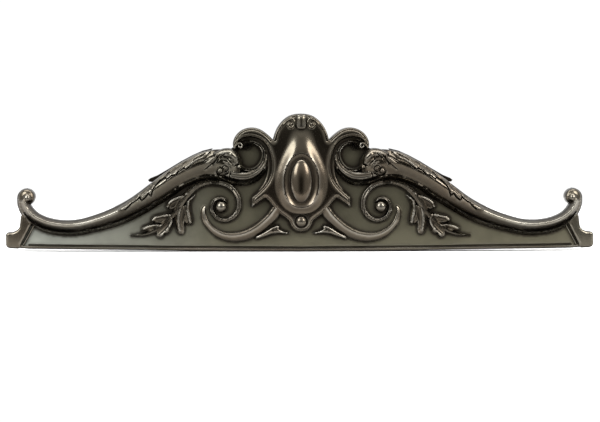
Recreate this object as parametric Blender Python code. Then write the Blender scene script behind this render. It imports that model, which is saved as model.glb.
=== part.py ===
"""Scroll onlay: a one-piece cast metal ornament with a flat back, made to be fixed to a flat face.

The front is one relief over a plate that bows forward. Every form is drawn on a grid of
steps: how far out from the centre line, then how far up from the end blocks' feet. One half
is made, and the other half mirrors it. The origin is on the flat back, on the centre line,
level with the middle of the oval boss. +Z is up and the front looks along -Y.
"""
import math

import bpy
import numpy as np
from mathutils import Vector
from mathutils.geometry import delaunay_2d_cdt
from mathutils.kdtree import KDTree

# Overall size, in metres
LENGTH = 0.600
HEIGHT = 0.1400
END_THICKNESS = 0.0065
BOW = 0.0125

# How far each form stands in front of the plate, in metres
LIP_RISE = 0.0014
LIP_GROOVE_DEPTH = 0.0009
BLOCK_RISE = 0.0030
END_BEAD_RISE = 0.0022
BEAD_RISE = 0.0056
SCROLL_RISE = 0.0112
VOLUTE_RISE = 0.0100
SCROLL_LEAF_THICKNESS = 0.0030
HEAD_RISE = 0.0120
JAW_RISE = 0.0082
CURL_RISE = 0.0066
STEP_RISE = 0.0028
CARTOUCHE_RISE = 0.0078
CARTOUCHE_EDGE = 0.0050
BULGE_RISE = 0.0052
CROWN_ROLL_RISE = 0.0014
KEYSTONE_RISE = 0.0126
RECESS_RISE = 0.0092
RECESS_COVE = 0.0022
CABOCHON_RISE = 0.0166
BOSS_GROOVE_RISE = 0.0062
BOSS_RISE = 0.0108
CRESCENT_RISE = 0.0078
LEAF_RISE = 0.0066
SPIRAL_RISE = 0.0046
SPIRAL_BOSS_RISE = 0.0078
FEATHER_RISE = 0.0062

# Sizes across the face, in metres
CABOCHON_WIDTH = 0.0230
CABOCHON_HEIGHT = 0.0445
RECESS_WIDTH = 0.0356
RECESS_HEIGHT = 0.0570
BOSS_DIAMETER = 0.0112
SPIRAL_BOSS_DIAMETER = 0.0120
KNOB_DIAMETER = 0.0164
VOLUTE_DIAMETER = 0.0092
LIP_HEIGHT = 0.0030
LIP_GROOVE_HEIGHT = 0.0016
WALL_DRAFT = 0.00032

# The drawing grid
HALF_STEPS = 294.5
LOW_STEP = -3.6
TOP_STEP = 133.8
ORIGIN_STEP = 67.0
STEP_X = (LENGTH / 2 - WALL_DRAFT) / HALF_STEPS
STEP_Z = (HEIGHT - 2 * WALL_DRAFT) / (TOP_STEP - LOW_STEP)
DRAFT = WALL_DRAFT / STEP_X

# Widths and reaches on the face, in steps
LIP_OVERLAP = 1.5
SCROLL_LEAF_REACH = 2.4
EAR_STEP_WIDTHS = (1.4, 2.0, 2.6, 2.8, 2.8, 2.8, 2.8, 2.8, 2.6, 2.2, 1.6, 0.9)
BULGE_REACH = 13.0
BULGE_ROWS = (39, 97, 103, 109, 115)
BULGE_FALL = (86, 122)
KEYSTONE_HALF = 5.5
KEYSTONE_FOOT = 117.6
KEYSTONE_REACH = 6.0
LOBE_RIM = 1.2
LOBE_RIB = 1.7

# The share of the swell's rise that is left at its neck
NECK_SHARE = 0.16

# How finely the solid is cut into facets, in steps
CURVE_STEP = 0.7
CURVE_STRAY = 0.42
LONG_RUN = 40.0
FACE_GRID = 26.0
MERGE = 0.04
BURIED_DEPTH = 1.0
BURIED_DROP = 0.0004
ROUND_POINTS = 18


def curve(points, step=CURVE_STEP):
    """Even points along a smooth curve through the given ones, in any number of columns."""
    knots = np.array(points, float)
    chords = np.hypot(*np.diff(knots[:, :2], axis=0).T)
    at = np.concatenate([[0.0], np.cumsum(chords)])
    slope = np.gradient(knots, at, axis=0)
    along = np.linspace(0.0, at[-1], max(3, int(at[-1] / step) + 1))
    left = np.clip(np.searchsorted(at, along, side="right") - 1, 0, len(at) - 2)
    span = (at[left + 1] - at[left])[:, None]
    u = ((along - at[left]) / span[:, 0])[:, None]
    return ((2 * u ** 3 - 3 * u ** 2 + 1) * knots[left] + (u ** 3 - 2 * u ** 2 + u) * span * slope[left]
            + (3 * u ** 2 - 2 * u ** 3) * knots[left + 1] + (u ** 3 - u ** 2) * span * slope[left + 1])


def normals(line, closed=False):
    """Unit vectors to the left of a line at each of its points."""
    if closed:
        run = np.roll(line, -1, axis=0) - np.roll(line, 1, axis=0)
    else:
        run = np.gradient(line, axis=0)
    run /= np.maximum(np.hypot(*run.T), 1e-9)[:, None]
    return np.stack([-run[:, 1], run[:, 0]], axis=1)


def nearest(points, line, closed=False):
    """For each point: distance to a line, share of its length there, and side (+1 is left)."""
    ends = np.vstack([line, line[:1]]) if closed else line
    start, run = ends[:-1], np.diff(ends, axis=0)
    size = np.maximum((run ** 2).sum(axis=1), 1e-12)
    far, share, side = [], [], []
    for chunk in np.array_split(points, max(1, len(points) // 2000)):
        gap = chunk[:, None, :] - start[None]
        u = np.clip((gap * run).sum(axis=2) / size, 0.0, 1.0)
        off = gap - u[..., None] * run
        apart = np.hypot(off[..., 0], off[..., 1])
        best = apart.argmin(axis=1)
        row = np.arange(len(chunk))
        far.append(apart[row, best])
        share.append((best + u[row, best]) / len(run))
        turn = run[best, 0] * gap[row, best, 1] - run[best, 1] * gap[row, best, 0]
        side.append(np.where(turn >= 0, 1.0, -1.0))
    return np.concatenate(far), np.concatenate(share), np.concatenate(side)


def inside(points, ring):
    """Which points lie inside a closed ring."""
    ends = np.roll(ring, -1, axis=0)
    hit = np.zeros(len(points), bool)
    low, high = ring.min(axis=0), ring.max(axis=0)
    near = np.flatnonzero(((points > low) & (points < high)).all(axis=1))
    x, y = points[near, 0], points[near, 1]
    odd = np.zeros(len(near), bool)
    for (x0, y0), (x1, y1) in zip(ring, ends):
        if y0 != y1:
            odd ^= ((y0 > y) != (y1 > y)) & (x < (x1 - x0) * (y - y0) / (y1 - y0) + x0)
    hit[near] = odd
    return hit


def counter_clockwise(ring):
    x, y = ring.T
    area = (x * np.roll(y, -1) - y * np.roll(x, -1)).sum()
    return ring if area > 0 else ring[::-1]


def offset(ring, gap):
    """A ring moved outwards by a gap, or inwards if the gap is negative."""
    ring = counter_clockwise(ring)
    moved = ring - normals(ring, closed=True) * gap
    clear = nearest(moved, ring, closed=True)[0] > abs(gap) * 0.93
    same_side = inside(moved, ring) == (gap < 0)
    return moved[clear & same_side]


def thin(line, stray):
    """Only the points of an open line that keep it within a distance of the full one."""
    if stray <= 0 or len(line) < 3:
        return line
    far = nearest(line, line[[0, -1]])[0]
    worst = int(far.argmax())
    if far[worst] <= stray:
        if math.dist(line[0], line[-1]) < LONG_RUN:
            return line[[0, -1]]
        worst = len(line) // 2
    return np.vstack([thin(line[:worst + 1], stray)[:-1], thin(line[worst:], stray)])


def thin_ring(ring, stray):
    half = int(np.hypot(*(ring - ring[0]).T).argmax())
    back = np.vstack([ring[half:], ring[:1]])
    return np.vstack([thin(ring[:half + 1], stray)[:-1], thin(back, stray)[:-1]])


def wall_foot(crest):
    """The line round a form's foot: its outline, moved out by the draft of its walls."""
    before = crest - np.roll(crest, 1, axis=0)
    after = np.roll(before, -1, axis=0)
    before /= np.hypot(*before.T)[:, None]
    after /= np.hypot(*after.T)[:, None]
    out = np.stack([before[:, 1] + after[:, 1], -before[:, 0] - after[:, 0]], axis=1)
    size = np.maximum((out ** 2).sum(axis=1), 0.9)
    return crest + out * (2.0 * DRAFT / size)[:, None]


def plate(points):
    """Height of the bowed plate over the flat back, in metres."""
    return END_THICKNESS + BOW * (1.0 - (points[:, 0] / HALF_STEPS) ** 2)


def form(ring, height, lines=(), how="over"):
    """One form of the relief: its outline, the lines on it, and its height over the back."""
    crest = thin_ring(counter_clockwise(np.asarray(ring, float)), CURVE_STRAY)
    foot = wall_foot(crest)
    marks = [thin(np.asarray(line, float), CURVE_STRAY) for line in lines if len(line) > 1]
    return {"crest": crest, "foot": foot, "lines": marks, "height": height, "how": how}


def shape_of(profile):
    """A smooth function through the (share across, share of rise) points of a profile."""
    bend = curve(profile, 0.04)
    return lambda share: np.interp(share, bend[:, 0], bend[:, 1])


def end_cap(centre, left, width):
    """Points of a half round from the left side of a strap's end to its right side."""
    first = math.atan2(left[1], left[0])
    sides = 3 + int(width)
    turn = first - np.linspace(0.0, math.pi, sides)[1:-1]
    return centre + width * np.stack([np.cos(turn), np.sin(turn)], axis=1)


def strap(spine, profile, rise, marks=(), taper=None, base=0.0):
    """A band along a spine of (out, up, half width), with a profile across it.

    The profile runs from -1 at the right edge to 1 at the left one, seen along the spine.
    The taper gives the share of the rise at shares of the length.
    """
    line = curve(spine)
    centre, width = line[:, :2], np.maximum(line[:, 2], 0.15)
    side = normals(centre)
    left = centre + side * width[:, None]
    right = centre - side * width[:, None]
    cap = end_cap(centre[-1], side[-1], width[-1])
    tail = end_cap(centre[0], -side[0], width[0])
    across = shape_of(profile)
    fall = taper or [(0.0, 1.0), (1.0, 1.0)]

    def height(points):
        far, share, hand = nearest(points, centre)
        half = np.interp(share, np.linspace(0, 1, len(width)), width)
        lift = np.interp(share, *np.array(fall, float).T)
        return plate(points) + base + rise * lift * across(np.clip(hand * far / half, -1.0, 1.0))

    lines = [centre + side * (width * mark)[:, None] for mark in marks]
    return form(np.vstack([left, cap, right[::-1], tail]), height, lines)


def pillow(ring, edge, top, reach, rings=(1.0,)):
    """A patch that rises from its edge to its full height within a reach."""
    ring = counter_clockwise(np.asarray(ring, float))

    def height(points):
        near = np.clip(nearest(points, ring, closed=True)[0] / reach, 0.0, 1.0)
        return plate(points) + edge + (top - edge) * np.sqrt(1.0 - (1.0 - near) ** 2)

    lines = []
    for share in rings:
        inner = offset(ring, -reach * share)
        if len(inner) > 4:
            lines.append(split_jumps(inner))
    flat = [piece for group in lines for piece in group]
    return form(ring, height, flat)


def split_jumps(line):
    """The unbroken stretches of a closed line that lost some of its points."""
    ends = np.vstack([line, line[:1]])
    step = np.hypot(*np.diff(ends, axis=0).T)
    cuts = np.flatnonzero(step > CURVE_STEP * 2.5) + 1
    return [piece for piece in np.split(ends, cuts) if len(piece) > 2]


def oval(out, up, half_out, half_up, points=ROUND_POINTS * 3):
    turn = np.linspace(0.0, 2 * math.pi, points, endpoint=False)
    return np.stack([out + half_out * np.cos(turn), up + half_up * np.sin(turn)], axis=1)


def dome(out, up, half_out, half_up, edge, top, rings=(0.85, 0.5)):
    """An oval boss that rises from its edge to its top."""
    def height(points):
        far = np.hypot((points[:, 0] - out) / half_out, (points[:, 1] - up) / half_up)
        return plate(points) + edge + (top - edge) * np.sqrt(np.clip(1.0 - far ** 2, 0.0, 1.0))

    lines = [np.vstack([ring, ring[:1]]) for ring in
             (oval(out, up, half_out * share, half_up * share) for share in rings)]
    return form(oval(out, up, half_out, half_up), height, lines)


BOTTOM_EDGE = [(283.5, -0.4), (272, -1.4), (200, -2.0), (100, -3.0), (0, -3.6), (-6, -3.6)]


def field():
    """The bowed plate behind everything; its bottom edge is hidden in the lip."""
    top = [(279, 30), (262, 22.5), (232, 17), (200, 24), (172, 31), (132, 55), (100, 74), (72, 97),
           (67, 100.6), (58, 108), (46, 110), (34, 104), (20, 100), (0, 100)]
    low = [(out, up + LIP_OVERLAP) for out, up in BOTTOM_EDGE[::-1]]
    return form(np.vstack([curve(top), straight([(-6, 100)] + low + [(279.2, 29)])]), plate)


def lip():
    """The rounded lip along the bottom edge, with a groove above it."""
    low = np.array(BOTTOM_EDGE)
    tall, gap = LIP_HEIGHT / STEP_Z, LIP_GROOVE_HEIGHT / STEP_Z
    crest = low + (0, tall)

    def height(points):
        up = points[:, 1] - np.interp(points[:, 0], low[::-1, 0], low[::-1, 1])
        share = np.clip(up / tall, 0.0, 1.0)
        return plate(points) + LIP_RISE * (1.9 * np.sqrt(share * (2 - share)) - 0.9)

    ring = straight_ring(np.vstack([low, crest[::-1]]))
    band = straight_ring(np.vstack([crest[1:], crest[:0:-1] + (0, gap)]))
    groove = form(band, lambda points: plate(points) - LIP_GROOVE_DEPTH, how="down to")
    return [groove, form(ring, height, [straight(low[1:] + (0, tall * 0.3))])]


def end_block():
    ring = [(294.5, 12.5), (293.6, 14.3), (291.8, 15), (287.5, 15.2), (283.6, 17), (280.8, 20), (280, 25),
            (279.4, 31), (276, 36), (268.4, 24.4), (279.4, 2.8), (279.6, 0.2), (282.4, -1.2), (290.6, -0.8),
            (293.4, 0.4), (294.5, 2.6)]
    return pillow(straight_ring(ring), BLOCK_RISE * 0.4, BLOCK_RISE, 2.0, rings=(1.0,))


def straight(corners, step=CURVE_STEP):
    """Even points along the straight runs between corners."""
    out = [np.array(corners[:1], float)]
    for start, end in zip(corners[:-1], corners[1:]):
        count = max(1, int(math.dist(start, end) / step))
        share = np.arange(1, count + 1)[:, None] / count
        out.append(np.array(start) + (np.array(end) - np.array(start)) * share)
    return np.vstack(out)


def straight_ring(corners, step=CURVE_STEP):
    """Even points along the straight sides of a closed ring."""
    return straight(list(corners) + [corners[0]], step)[:-1]


def end_bead():
    """The thin bead that slants beside each end block."""
    spine = [(266.6, 21.6, 1.1), (272, 11.6, 1.1), (276.6, 3.2, 1.1)]
    return strap(spine, [(-1, 0.5), (0, 1.0), (1, 0.5)], END_BEAD_RISE, marks=(0,))


SCROLL_SPINE = [(276, 46.4, 4.6), (274.2, 40.8, 4.7), (270.2, 35.2, 4.7), (264.6, 30.2, 4.7),
                (256, 26, 4.7), (240, 22.4, 4.9), (222.2, 22.5, 5.3), (206, 26.2, 5.8),
                (184.5, 33.9, 6.5), (166, 43.2, 7.3), (146.5, 55.9, 8.6), (127, 69.2, 9.5),
                (110.5, 78.2, 10.4), (99.5, 83.1, 11.2), (87.5, 85.1, 12.5), (77, 84.2, 13.5),
                (69.5, 83.4, 11.4)]
SCROLL_PROFILE = [(-1, 0.34), (-0.8, 0.56), (-0.55, 0.84), (-0.33, 1.0), (-0.14, 0.98), (0.2, 0.86),
                  (0.6, 0.64), (1, 0.36)]

BEAD_SPINE = [(268.6, 53.8, 1.8), (270.8, 55.8, 2.2), (273.8, 56.4, 2.5), (277.2, 55.2, 2.6),
              (279.6, 52, 2.7), (280, 46.8, 2.8), (278.6, 39.6, 3.0), (275.2, 33, 3.0), (270, 27, 3.0),
              (261.6, 21.4, 3.1), (245, 16.2, 3.2), (235, 15.4, 3.2), (221.5, 15.8, 3.3),
              (212, 17.8, 3.3), (192, 22.7, 3.4), (172, 29.8, 3.6), (152, 40.6, 3.6), (132, 53.4, 3.6),
              (112, 66.2, 3.5), (98, 71, 3.4), (84, 71.4, 3.2), (77, 69.4, 3.0), (70.5, 67, 3.0),
              (63.5, 65.4, 3.0), (57, 65.2, 3.0), (50.5, 66.3, 3.0), (43.8, 70, 2.8), (38, 76, 2.4),
              (34.5, 83, 1.4)]
BEAD_PROFILE = [(-1, 0.30), (-0.5, 0.50), (0, 1.0), (0.5, 0.52), (1, 0.25)]


def scroll_body():
    return strap(SCROLL_SPINE, SCROLL_PROFILE, SCROLL_RISE, marks=(-0.78, -0.33, 0.45))


def scroll_bead():
    return strap(BEAD_SPINE, BEAD_PROFILE, BEAD_RISE, marks=(0,))


def volute():
    """The knob that the scroll's outer end winds into, and the ball at its middle."""
    knob, ball = KNOB_DIAMETER / STEP_X / 2, VOLUTE_DIAMETER / STEP_X / 2
    return [dome(273.2, 50.6, knob, knob, BEAD_RISE * 0.5, BEAD_RISE * 1.3),
            dome(272.4, 50.0, ball, ball, BEAD_RISE * 0.9, VOLUTE_RISE)]


SCROLL_LEAF_EDGE = [(181.5, 37.4), (174.5, 39.4), (171, 42.5), (168.5, 45.5), (162, 49.5), (160, 52.5),
                    (158.4, 48.2), (155, 51), (151.4, 55.8), (148.8, 52.6), (147.3, 58.5), (145, 63),
                    (140, 68), (134.6, 71.6), (133.4, 69.6), (128.5, 73.6), (124.6, 73.6), (122, 77),
                    (116, 81), (114.6, 79), (109.5, 83.6), (102.5, 88.4), (96, 91.6)]
SCROLL_LEAF_TOP = [(88, 99), (98, 96.6), (108, 92.2), (120, 85.8), (132, 78.4), (143, 72), (150.4, 69),
                   (152.6, 67.2), (151.4, 65.6), (147.5, 65.6), (150, 62.6), (156, 58.2), (166, 51),
                   (176, 43.4), (181.5, 39.6)]


def scroll_leaf():
    """The thin leaf that lies along the top of the scroll, its lower edge cut into lobes."""
    edge = straight(SCROLL_LEAF_EDGE, 1.6)
    ring = np.vstack([edge, straight(SCROLL_LEAF_TOP, 1.6)])

    def height(points):
        near = np.clip(nearest(points, edge)[0] / SCROLL_LEAF_REACH, 0.0, 1.0)
        return SCROLL_LEAF_THICKNESS * (0.55 + 0.45 * np.sqrt(near * (2.0 - near)))

    return form(ring, height, how="on top")


def head():
    """The hooded brow, the snout and the cheek at the inner end of the scroll."""
    brow_spine = [(84, 92.6, 3.4), (76, 94.6, 4.4), (69.6, 93.8, 4.8), (65.4, 90.2, 4.2), (64, 86, 3.0)]
    brow = strap(brow_spine, [(-1, 0.72), (-0.3, 1.0), (0.4, 0.96), (1, 0.66)], HEAD_RISE * 1.1,
                 marks=(-0.3, 0.5), taper=[(0, 0.9), (0.6, 1.0), (1, 0.86)])
    snout = dome(61.6, 81.4, 2.6, 2.6, HEAD_RISE * 0.5, HEAD_RISE * 0.86, rings=(0.6,))
    cheek = dome(80.4, 77.6, 3.0, 2.8, HEAD_RISE * 0.8, HEAD_RISE * 1.0, rings=(0.6,))
    return [brow, snout, cheek]


JAW_SPINE = [(74, 74, 3.2), (67, 72.6, 4.2), (59.3, 71.6, 4.7), (52, 72.2, 4.3), (45.6, 75, 3.7),
             (40, 79.3, 3.0), (36.2, 85, 2.3), (34.8, 91.5, 1.6), (35.2, 97, 0.8)]
CURL_SPINE = [(60, 82.4, 0.9), (58.5, 80.4, 1.2), (55, 78.6, 1.5), (50.5, 78, 1.6), (45.5, 79.6, 1.7),
              (40.7, 84, 1.7), (37.8, 90.5, 1.7), (37.8, 97.2, 1.7), (41, 102.2, 1.6), (45.5, 104.9, 1.5),
              (50.5, 105.7, 1.4), (54, 104.7, 1.3), (55.8, 102.5, 1.2), (54.6, 100.3, 1.1),
              (52.4, 100.2, 1.0), (51.6, 101.9, 0.8)]


def jaw():
    """The fleshy band that leaves the head, tapers and turns up outside the curl."""
    profile = [(-1, 0.72), (-0.7, 1.0), (-0.35, 0.8), (0.2, 0.94), (0.6, 0.84), (1, 0.42)]
    return strap(JAW_SPINE, profile, JAW_RISE, marks=(-0.7, -0.3, 0.45),
                 taper=[(0, 1), (0.6, 0.9), (1, 0.5)])


def curl():
    """The thin ring with two rims that runs round as a C and winds up at its end."""
    profile = [(-1, 0.8), (-0.62, 1.0), (0, 0.74), (0.62, 1.0), (1, 0.8)]
    return strap(CURL_SPINE, profile, CURL_RISE, marks=(-0.62, 0, 0.62))


EAR_INNER = [(66, 99.6), (64.4, 103), (62.6, 106.4), (58.7, 109.6), (52, 111.2), (45, 110.2),
             (38.8, 107.2), (34, 102), (31.4, 95.6), (29.7, 88.5), (29.4, 80.5), (30.9, 72.6), (35, 64.4),
             (40, 58.6), (48.6, 50.8)]
EAR_OUTER = [(28, 107.8), (30.6, 110.6), (35, 114.4), (40.5, 118), (47, 119.8), (53, 119.5), (59.5, 117),
             (64.3, 112.6), (67, 107.4), (67.6, 102.2), (66.9, 99.8)]
CROWN = [(0, 133.8), (5.5, 133.4), (12, 131.4), (18.2, 126.8), (23.2, 120.2), (26.2, 113.4), (27.6, 108)]
TAIL = [(21, 34), (16, 30.4), (11.8, 26.6), (9.8, 21.8), (6, 18), (0.5, 16.4), (-4, 16.8)]


def cartouche_ring():
    arm = straight([(49, 50.5), (49, 41.2), (35.5, 50.2), (31.8, 46.8), (28.2, 41.8), (21.4, 34.4)])
    middle = straight([(-8, 17), (-8, TOP_STEP)])
    return np.vstack([curve(CROWN), curve(EAR_OUTER), curve(EAR_INNER), arm, curve(TAIL), middle])


def cartouche():
    """The central shield with its crown, its two ears and its tail."""
    return pillow(cartouche_ring(), CARTOUCHE_EDGE, CARTOUCHE_RISE, 6.0, rings=(0.3, 1.0))


def ear_step():
    """The lower step that follows the inner edge of each ear."""
    spine = [(out + 1.6, up - 1.4, wide) for (out, up), wide in zip(EAR_INNER[2:-1], EAR_STEP_WIDTHS)]
    return strap(spine, [(-1, 0.8), (0, 1.0), (1, 0.8)], STEP_RISE)


def ear_curl():
    """The small curl in which each ear's edge ends."""
    spine = [(66.2, 99.9, 1.1), (64.5, 102.9, 1.2), (62, 104.6, 1.2), (59.4, 104, 1.2), (58.6, 101.9, 1.1),
             (60, 100.4, 1.1), (61.8, 101, 1.0), (61.9, 102.4, 0.9)]
    return strap(spine, [(-1, 0.85), (0, 1.0), (1, 0.85)], CARTOUCHE_RISE * 0.92)


def crown_roll():
    """The roll inside the crown's edge, which curls in at its top."""
    spine = [(26.6, 108.2, 0.7), (25.4, 111.8, 0.9), (23.8, 116, 1.0), (20.8, 121, 1.1), (16.4, 126, 1.2),
             (12.4, 128.8, 1.3), (9.2, 129, 1.4), (7.2, 126.6, 1.4), (6.9, 123, 1.4), (8.6, 120.2, 1.4),
             (11.2, 119.8, 1.3), (12.6, 121.9, 1.2), (11.5, 124.2, 1.1), (9.8, 123.9, 1.0)]
    return strap(spine, [(-1, 0.8), (0, 1.0), (1, 0.8)], CROWN_ROLL_RISE, base=CARTOUCHE_RISE)


BULGE_SIDE = [(0, 122.6), (6, 122.2), (11, 118.4), (13.4, 112), (15.4, 104.4), (19, 95), (23, 85), (26, 75),
              (27, 66), (26.2, 57), (23.4, 48.4), (19, 41.4), (12, 36.2), (5, 34.2), (0, 34)]


def bulge():
    """The swell of the shield: narrow and low at its neck, widest and highest round the boss."""
    side = curve(BULGE_SIDE)
    ring = np.vstack([side, straight([(-6, 34), (-6, 122.6)])[1:-1]])

    def height(points):
        near = np.clip(nearest(points, ring[:len(side)])[0] / BULGE_REACH, 0.0, 1.0)
        swell = 0.5 - 0.5 * np.cos(math.pi * near)
        neck = np.clip((points[:, 1] - BULGE_FALL[0]) / (BULGE_FALL[1] - BULGE_FALL[0]), 0.0, 1.0)
        fall = 1.0 - (1.0 - NECK_SHARE) * neck * neck * (3.0 - 2.0 * neck)
        return plate(points) + CARTOUCHE_RISE + BULGE_RISE * swell * fall

    inner = [piece for share in (0.35, 0.8) for piece in split_jumps(offset(ring, -BULGE_REACH * share))]
    rows = [straight([(0.2, up), (BULGE_REACH, up)]) for up in BULGE_ROWS]
    return form(ring, height, inner + rows)


def keystone():
    """The round nose between the crown's curls, which runs on over the crown's edge."""
    side = curve([(4.6, 132.6), (4.4, 128.6), (5.2, 124.6), (4.8, 121.2), (2.8, 118.8), (0, 118),
                  (-3, 118.8)])
    ring = np.vstack([side, straight([(-6, 122), (-6, 132.6)])])

    def height(points):
        near = np.clip(np.abs(points[:, 0]) / KEYSTONE_HALF, 0.0, 1.0)
        low = np.clip((points[:, 1] - KEYSTONE_FOOT) / KEYSTONE_REACH, 0.0, 1.0)
        high = np.clip((TOP_STEP + 0.6 - points[:, 1]) / KEYSTONE_REACH, 0.0, 1.0)
        rounding = np.sqrt((1.0 - near ** 2) * low * (2 - low) * high * (2 - high))
        return plate(points) + CARTOUCHE_RISE + (KEYSTONE_RISE - CARTOUCHE_RISE) * rounding

    return form(ring, height, [straight([(out, 120), (out, 131.6)], 2.0) for out in (0.4, 3.0)])


def recess():
    """The hollow ring round the oval boss."""
    half_out, half_up = RECESS_WIDTH / STEP_X / 2, RECESS_HEIGHT / STEP_Z / 2
    centre = ORIGIN_STEP - 0.6

    def height(points):
        far = np.hypot(points[:, 0] / half_out, (points[:, 1] - centre) / half_up)
        return plate(points) + RECESS_RISE + RECESS_COVE * np.clip((far - 0.72) / 0.28, 0.0, 1.0) ** 2

    return form(oval(0, centre, half_out, half_up), height, how="down to")


def cabochon():
    half_out, half_up = CABOCHON_WIDTH / STEP_X / 2, CABOCHON_HEIGHT / STEP_Z / 2
    return dome(0, ORIGIN_STEP, half_out, half_up, RECESS_RISE + 0.0012, CABOCHON_RISE,
                rings=(0.88, 0.55))


def tail_boss():
    """The round boss in the tail, in its own shallow ring."""
    half = BOSS_DIAMETER / STEP_X / 2
    groove = form(oval(0, 26.6, half + 1.2, half + 1.2), lambda points: plate(points) + BOSS_GROOVE_RISE,
                  how="down to")
    return [groove, dome(0, 26.6, half, half, BOSS_GROOVE_RISE + 0.0008, BOSS_RISE)]


CRESCENT_SPINE = [(24.2, 38, 5.2), (29.5, 31, 5.0), (35.5, 25, 4.9), (43.5, 18.7, 4.8), (52, 14, 4.8),
                  (60.6, 11.4, 4.6), (69.4, 10.8, 4.2), (77.6, 12.2, 3.7), (85.2, 16, 3.3),
                  (91.4, 21.6, 2.8), (95.6, 28, 2.9), (97.2, 34.2, 2.6), (96.8, 38.8, 2.0),
                  (95.8, 41.6, 1.2)]


def crescent():
    """The band that leaves the shield, with a ledge inside its crest, and runs out to a point."""
    profile = [(-1, 0.50), (-0.7, 0.66), (0.0, 0.86), (0.42, 0.99), (0.5, 1.0), (0.56, 0.72), (0.62, 0.58),
               (0.8, 0.55), (1, 0.46)]
    return strap(CRESCENT_SPINE, profile, CRESCENT_RISE, marks=(-0.6, 0.49, 0.6),
                 taper=[(0, 1.0), (0.25, 0.84), (0.6, 0.62), (0.85, 0.5), (1, 0.3)])


def feather():
    """The small two-pointed leaf that lies over the crescent's outer edge."""
    ring = [(45, 11.6), (36, 16.6), (29.5, 20.8), (24, 22.8), (21.2, 22.2), (22.2, 19.4), (18.2, 17.2),
            (11.5, 15), (14.8, 14.4), (21.5, 15), (29.5, 14), (36, 11.6), (45, 9)]
    crease = straight([(40, 12.4), (30, 17), (22.5, 18.6)])
    shape = pillow(straight_ring(ring), FEATHER_RISE * 0.55, FEATHER_RISE, 1.8, rings=(1.0,))
    shape["lines"].append(thin(crease, CURVE_STRAY))
    return shape


LEAF_SPINE = [(82, 66, 2.3), (90, 66, 2.6), (98.5, 64.2, 2.9), (106, 60.6, 3.4), (112.6, 54.6, 3.7),
              (118.2, 46.4, 3.5), (123.4, 38.6, 3.1), (128.6, 32, 2.8), (134.2, 26.4, 2.5),
              (140, 21.4, 2.3), (146.6, 17.2, 2.2), (153.8, 14.4, 1.9), (162, 12.9, 1.3),
              (170, 12.6, 0.3)]
LEAF_LOBES = [
    [(113, 55), (121, 52.6), (127, 50), (132, 46.4), (134.6, 42.4), (133.4, 39.6), (129.5, 38.6),
     (125.5, 40), (120, 43)],
    [(126.4, 35.4), (134.5, 34.8), (141, 33), (146.6, 31.4), (148.9, 28.2), (147.2, 25.6), (143, 25),
     (137, 25.2), (131, 28)],
    [(137, 24.4), (141, 24), (146, 24.4), (151, 23.4), (155.4, 21.6), (158.8, 19.4), (156.4, 17.6),
     (152, 17), (145, 17.4)],
    [(128.6, 32), (127.2, 27), (129.4, 21), (131.6, 15.4), (133.8, 14), (135.8, 15.4), (137.4, 11.6),
     (140.6, 9.8), (143, 11.8), (143.6, 17), (137, 24)],
    [(124.6, 37), (125.5, 28.5), (124.6, 21.6), (123.4, 16.6), (120.6, 13.6), (117.6, 14), (116.1, 18.5),
     (116.4, 24), (115.4, 29), (113.4, 36), (113, 44)],
    [(114, 46), (115.2, 38), (115.4, 31.6), (116, 27.6), (113.8, 24.4), (111, 23.3), (108.2, 25),
     (108, 29.5), (109.5, 35), (110.4, 41), (109, 47), (104.5, 54)],
]
LEAF_RIBS = [
    [(114, 52.6), (121, 51), (127.6, 48), (131.6, 44.4), (132.6, 41.6)],
    [(129, 33.2), (139, 32), (145, 30.4), (147.4, 28.2)],
    [(139, 22.6), (146, 22.8), (151.6, 21.8), (156.6, 19.6)],
    [(128.5, 32), (129.6, 24.5), (133.4, 18.6), (139.2, 13)],
    [(118.5, 43.5), (121.2, 36), (122, 28.6), (120.6, 18)],
    [(109, 54.5), (112.4, 46), (112.8, 38.4), (111.2, 31), (110.4, 26)],
]


def leaf_lobe(outline, rib):
    """One lobe of the leaf: hollow, with a round edge and a rib that catches the light."""
    side, crown = curve(outline), curve(rib)
    ring = np.vstack([side, straight([outline[-1], outline[0]])[1:-1]])

    def height(points):
        rim = np.clip(nearest(points, side)[0] / LOBE_RIM, 0.0, 1.0)
        off = nearest(points, crown)[0] / LOBE_RIB
        share = 0.44 + 0.12 * np.sqrt(rim * (2.0 - rim)) + 0.44 * np.exp(-off ** 2)
        return plate(points) + LEAF_RISE * share

    return form(ring, height, [crown])


def leaf():
    """The acanthus leaf: six lobes and the stem that lies over them."""
    profile = [(-1, 0.5), (-0.6, 0.64), (-0.15, 0.7), (0.12, 0.98), (0.3, 1.0), (0.5, 0.78), (1, 0.46)]
    stem = strap(LEAF_SPINE, profile, LEAF_RISE * 1.25, marks=(-0.15, 0.2),
                 taper=[(0, 0.75), (0.25, 0.95), (0.45, 1), (0.75, 0.85), (1, 0.4)])
    return [leaf_lobe(outline, rib) for outline, rib in zip(LEAF_LOBES, LEAF_RIBS)] + [stem]


SPIRAL_SPINE = [(89, 65.6, 2.5), (83, 65.6, 2.6), (76.5, 64.2, 2.7), (70.2, 61, 2.7), (65.2, 55.6, 2.7),
                (62.2, 49.2, 2.7), (61.6, 42.6, 2.7), (63.6, 36, 2.6), (68, 30.8, 2.5), (74.2, 28, 2.4),
                (80.8, 28.8, 2.3), (86.2, 32.6, 2.2), (88.8, 38.4, 2.1), (88.4, 44.2, 1.9),
                (85.4, 48.4, 1.7), (80.8, 49.9, 1.5), (76.4, 49, 1.3), (73.8, 46.4, 1.0)]


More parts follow.
